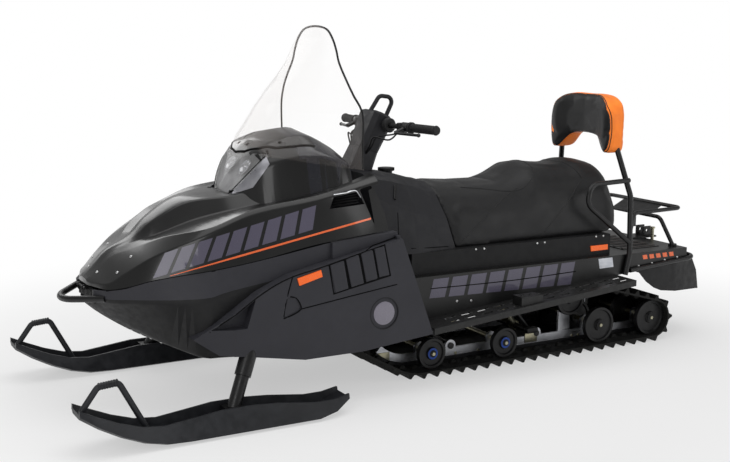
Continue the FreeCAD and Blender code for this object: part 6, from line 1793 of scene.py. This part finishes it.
@dataclass
class Cockpit:
    """Small parts of the steering column, the handlebar and the tank."""

    kit: Kit
    rake: float = 25.0
    foot: Point = (192, 0, 871)
    bar_height: float = 193.0
    setback: float = 22.0
    centre_half: float = 112.0
    half_width: float = 380.0
    sweep: float = 42.0
    rise: float = 18.0
    collars: Path = ((86, 30, 26), (205, 19, 20), (226, 23, 6), (378, 20, 5))
    collar_bore: float = 12.0
    switch_place: float = 178.0
    switch_box: tuple[Point, Point] = ((-17, -15, -24), (20, 15, 17))
    rib_start: float = 240.0
    rib_pitch: float = 10.0
    rib_count: int = 13
    cable_loops: Line = ((0.030, 0.03), (0.052, 0.05))
    cap_centre: Point = (51, 0, 845)
    cap_radius: float = 0.034
    knurl_count: int = 28
    seams: tuple[Line, ...] = (((144, 700), (146, 640), (150, 560)),
                               ((92, 552), (0, 546), (-100, 541)))
    latch: Line = ((122, 798), (134, 775), (148, 750))

    def column(self, forward: float, left: float, along: float) -> Vector:
        """Return a point in metres from the column's own forward, left and along places."""
        tilt = math.radians(self.rake)
        ahead = Vector((math.cos(tilt), 0, math.sin(tilt)))
        up = Vector((-math.sin(tilt), 0, math.cos(tilt)))
        return (Vector(self.foot) + ahead * forward + Vector((0, left, 0)) + up * along) * MM

    def on_bar(self, left: float) -> Vector:
        """Return the bar's centre at a place across it."""
        share = max(abs(left) - self.centre_half, 0.0) / (self.half_width - self.centre_half)
        return self.column(-self.setback - self.sweep * share, left, self.bar_height + self.rise * share)

    def build(self) -> None:
        """Make the bar's fittings, the cables, the tank's cap and latch."""
        self.fittings()
        self.cables()
        self.tank()

    def fittings(self) -> None:
        """Make the collars beside the pad, the switch blocks and the grips' flanges and ribs."""
        collars, blocks, band, bands = Mould(), Mould(), Mould(), []
        for sign in SIDES:
            way = (self.on_bar(300.0 * sign) - self.on_bar(120.0 * sign)).normalized()
            for left, radius, length in self.collars:
                bore, half = self.collar_bore, length / 2
                collars.turned([(bore, -half), (radius - 3.0, -half), (radius, -half + 3.0),
                                (radius, half - 3.0), (radius - 3.0, half), (bore, half)],
                               tuple(self.on_bar(left * sign) / MM), way, 28)
            spot = self.on_bar(self.switch_place * sign) / MM
            blocks.block(*(tuple(spot + Vector(corner)) for corner in self.switch_box))
            for number in range(self.rib_count):
                place_in = self.on_bar((self.rib_start + self.rib_pitch * number) * sign)
                bands.append((place_in, way, way.orthogonal().normalized()))
        blocks.bevel(4, 3)
        collars.piece("bar_collars", GRIP, "steering", "grip_rubber")
        blocks.piece("switch_blocks", DARK_PLASTIC, "steering")
        band.turned([(800, -500), (980, -500), (1000, 0), (980, 500), (800, 500)],
                    (0, 0, 0), UP, 24)
        self.kit.repeater.set_out("grip_ribs", band.data("band"), bands, (0.0184, 0.0184, 0.004), GRIP,
                                  "steering", "grip_rubber")

    def cables(self) -> None:
        """Run the control cables from the switch blocks into the pad."""
        cords = Mould()
        for sign in SIDES:
            start = self.on_bar(180.0 * sign)
            for drop, out in self.cable_loops:
                run = [start + Vector((0.012, 0, -0.01)), start + Vector((out, -0.02 * sign, -drop)),
                       self.column(out * 700.0, 112.0 * sign, 134.0 - drop * 300.0),
                       self.column(out * 500.0, 88.0 * sign, 84.0), self.column(12.0, 52.0 * sign, 42.0)]
                cords.sweep(smooth_path([tuple(v / MM) for v in run], 8), 0.0035, 8)
        cords.piece("control_cables", CORD, "steering")

    def tank(self) -> None:
        """Knurl the fuel cap, lay the latches, and lay near-black cords along the seams of the tank as painted
        shade.
        """
        skin = self.kit.made("fuel_tank")
        knurl, seams, latch = Mould(), Mould(), Mould()
        knurl.block((-500, -500, -500), (500, 500, 500))
        places = []
        for number in range(self.knurl_count):
            angle = 2 * math.pi * number / self.knurl_count
            out = Vector((math.cos(angle), math.sin(angle), 0))
            places.append((metres(self.cap_centre) + out * self.cap_radius, UP, out))
        self.kit.repeater.set_out("cap_knurl", knurl.data("knurl"), places, (0.003, 0.004, 0.011),
                                  DARK_PLASTIC, "chassis")
        for sign in SIDES:
            for line in self.seams:
                seams.sweep(points([skin.side(x, z, sign) for x, z in line]), 0.0018, 6)
            latch.sweep(points([skin.side(x, z, sign) for x, z in self.latch], 0.004), 0.006, 8, flatness=0.6)
        seams.piece("tank_seams", GROOVE, "chassis")
        latch.piece("tank_latches", DARK_PLASTIC, "chassis")


@dataclass
class Skis:
    """Ribbed grips on the loops and the bolts of the skis."""

    kit: Kit
    grip: Line = ((416, 232), (488, 226))
    grip_pitch: float = 9.0
    pivot: Point = (960, 480, 61)
    boss_face: float = 53.0

    def build(self) -> None:
        """Make the ribs of the loop grips and the bolts."""
        band = Mould()
        band.turned([(700, -500), (980, -500), (1000, 0), (980, 500), (700, 500)],
                    (0, 0, 0), UP, 16)
        shape = band.data("loop_band")
        first, last = (Vector((x, 0, z)) for x, z in self.grip)
        way = (last - first).normalized()
        across = way.orthogonal().normalized()
        x, y, z = self.pivot
        for side, sign in zip(("left", "right"), SIDES):
            start = Vector((x, y * sign, 0)) + first
            places = [((start + way * (self.grip_pitch * (number + 0.5))) * MM, way, across)
                      for number in range(int((last - first).length / self.grip_pitch))]
            self.kit.repeater.set_out(f"{side}_loop_grip", shape, places, (0.0132, 0.0132, 0.005), SKI_PLASTIC,
                                      f"{side}_ski_leg", "ski_plastic")
            bolts = [(metres((x, y * sign + face * self.boss_face, z)), Vector((0, face, 0))) for face in SIDES]
            self.kit.heads(f"{side}_ski_bolts", bolts, 9.0, 6.0, ZINC, f"{side}_ski_leg", Head.HEX,
                           "zinc_steel")


@dataclass
class Tail:
    """Tail lamp, rack brackets and hitch pin."""

    kit: Kit
    lamp: tuple[Point, Point] = ((-1432, -70, 578), (-1404, 70, 604))
    bracket: tuple[Flat, Flat] = ((-1120, 548), (-1096, 600))
    bracket_span: Flat = (246, 264)
    pin_place: Point = (-1412, 62, 452)
    pin: Line = ((0.01, -34), (8, -34), (8, 34), (13, 34), (13, 40), (0.01, 40))

    def build(self) -> None:
        """Make the small parts of the rear."""
        lamp, bracket, pin = Mould(), Mould(), Mould()
        lamp.block(*self.lamp)
        lamp.bevel(5, 3)
        lamp.piece("tail_lamp", TAIL_RED, "chassis")
        (x0, z0), (x1, z1) = self.bracket
        for sign in SIDES:
            near, far = sorted(sign * y for y in self.bracket_span)
            bracket.block((x0, near, z0), (x1, far, z1))
        bracket.bevel(3)
        bracket.piece("rack_brackets", STEEL, "chassis", "black_steel")
        pin.turned(self.pin, self.pin_place, UP, 20)
        pin.piece("hitch_pin", ZINC, "chassis", "zinc_steel")


@dataclass
class Studio:
    """Camera at the photo's viewpoint, floor, backdrop and soft lamps, in metres and watts."""

    focal: float = 56.26
    sensor: float = 36.0
    reach: float = 60.0
    ambient: float = 0.36
    lamps: tuple[tuple[str, Point, Point, Flat, float], ...] = (
        ("overhead", (0.2, 0.3, 3.4), (0, 0, 0.4), (4.2, 3), 54.0),
        ("front_left", (3.4, 3, 2.2), (0.5, 0.2, 0.5), (1.6, 2), 28.0),
        ("rear_left", (-3.2, 3.4, 2), (-0.6, 0, 0.5), (1.8, 2), 22.0),
        ("right_edge", (1, -3.6, 2.4), (0.2, 0, 0.7), (2.4, 1.4), 22.0))

    def build(self) -> None:
        """Set up the camera, the floor, the world and the lamps."""
        self.camera()
        self.floor()
        self.world()
        for name, where, target, size, power in self.lamps:
            self.lamp(name, where, target, size, power)

    def camera(self) -> None:
        """Place the camera."""
        level, top, ahead = camera_axes()
        data = bpy.data.cameras.new("camera")
        data.lens = self.focal
        data.sensor_width = self.sensor
        data.clip_end = 200.0
        camera = linked(bpy.data.objects.new("camera", data))
        matrix = Matrix((level, top, -ahead)).transposed().to_4x4()
        matrix.translation = metres(EYE)
        camera.matrix_world = matrix
        bpy.context.scene.camera = camera

    def floor(self) -> None:
        """Lay a pale floor that takes the shadow and runs out to white."""
        graph = Graph("floor")
        light = graph.add("ShaderNodeLightPath")
        rays = [light.outputs[f"Is {kind} Ray"] for kind in ("Camera", "Glossy", "Transmission")]
        seen = graph.maths("MINIMUM", graph.maths("ADD", graph.maths("ADD", rays[0], rays[1]), rays[2]), 1.0)
        far = graph.add("ShaderNodeVectorMath", operation="LENGTH")
        graph.link(graph.coords, far.inputs[0])
        share = graph.spread(far.outputs["Value"], 0.5, 1.0, 1.3, 3.0)
        share.node.interpolation_type = "SMOOTHSTEP"
        graph.uniform(Base_Color=(0.9, 0.9, 0.9, 1), Roughness=0.9, Specular_IOR_Level=0.0)
        white = graph.add("ShaderNodeEmission")
        blend = graph.add("ShaderNodeMixShader")
        graph.link(graph.maths("MULTIPLY", seen, share), blend.inputs[0])
        graph.link(graph.shader.outputs["BSDF"], blend.inputs[1])
        graph.link(white.outputs["Emission"], blend.inputs[2])
        graph.link(blend.outputs["Shader"], graph.output.inputs["Surface"])
        mesh = bpy.data.meshes.new("floor")
        corners = [(x * self.reach, y * self.reach, 0.0) for x, y in ((-1, -1), (1, -1), (1, 1), (-1, 1))]
        mesh.from_pydata(corners, [], [(0, 1, 2, 3)])
        mesh.materials.append(graph.material)
        linked(bpy.data.objects.new("floor", mesh))

    def world(self) -> None:
        """Give an even soft light, seen as white."""
        world = bpy.data.worlds.new("world")
        bpy.context.scene.world = world
        world.use_nodes = True
        tree = world.node_tree
        tree.nodes.clear()
        light = tree.nodes.new("ShaderNodeLightPath")
        total = tree.nodes.new("ShaderNodeMath")
        total.operation = "MAXIMUM"
        tree.links.new(light.outputs["Is Camera Ray"], total.inputs[0])
        tree.links.new(light.outputs["Is Transmission Ray"], total.inputs[1])
        strength = tree.nodes.new("ShaderNodeMapRange")
        strength.inputs["To Min"].default_value = self.ambient
        strength.inputs["To Max"].default_value = 1.0
        tree.links.new(total.outputs[0], strength.inputs["Value"])
        ground = tree.nodes.new("ShaderNodeBackground")
        ground.inputs["Color"].default_value = (1, 1, 1, 1)
        tree.links.new(strength.outputs["Result"], ground.inputs["Strength"])
        out = tree.nodes.new("ShaderNodeOutputWorld")
        tree.links.new(ground.outputs["Background"], out.inputs["Surface"])

    def lamp(self, name: str, where: Point, target: Point, size: Flat, power: float) -> None:
        """Hang one soft box."""
        data = bpy.data.lights.new(name, "AREA")
        data.shape = "RECTANGLE"
        data.size, data.size_y = size
        data.energy = power
        lamp = linked(bpy.data.objects.new(name, data))
        lamp.location = where
        lamp.rotation_mode = "QUATERNION"
        lamp.rotation_quaternion = (Vector(target) - Vector(where)).to_track_quat("-Z", "Y")


def main() -> None:
    """Load the frame, dress its nodes, build every sub-assembly and note the sizes."""
    logging.basicConfig(level=logging.INFO, format="%(name)s %(message)s")
    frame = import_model()
    bpy.context.scene.view_settings.view_transform = "Standard"
    for name, finish in NODE_FINISHES.items():
        dressed(frame["nodes"][name].data, finish)
    kit = Kit(frame, Repeater())
    Studio().build()
    for part in (Shells(kit), Bodywork(kit), Lamp(kit), Screen(kit), Upholstery(kit), Track(kit), Tunnel(kit),
                 Cockpit(kit), Skis(kit), Tail(kit)):
        part.build()
        LOG.info("%s is built", type(part).__name__)


if __name__ == "__main__":
    main()
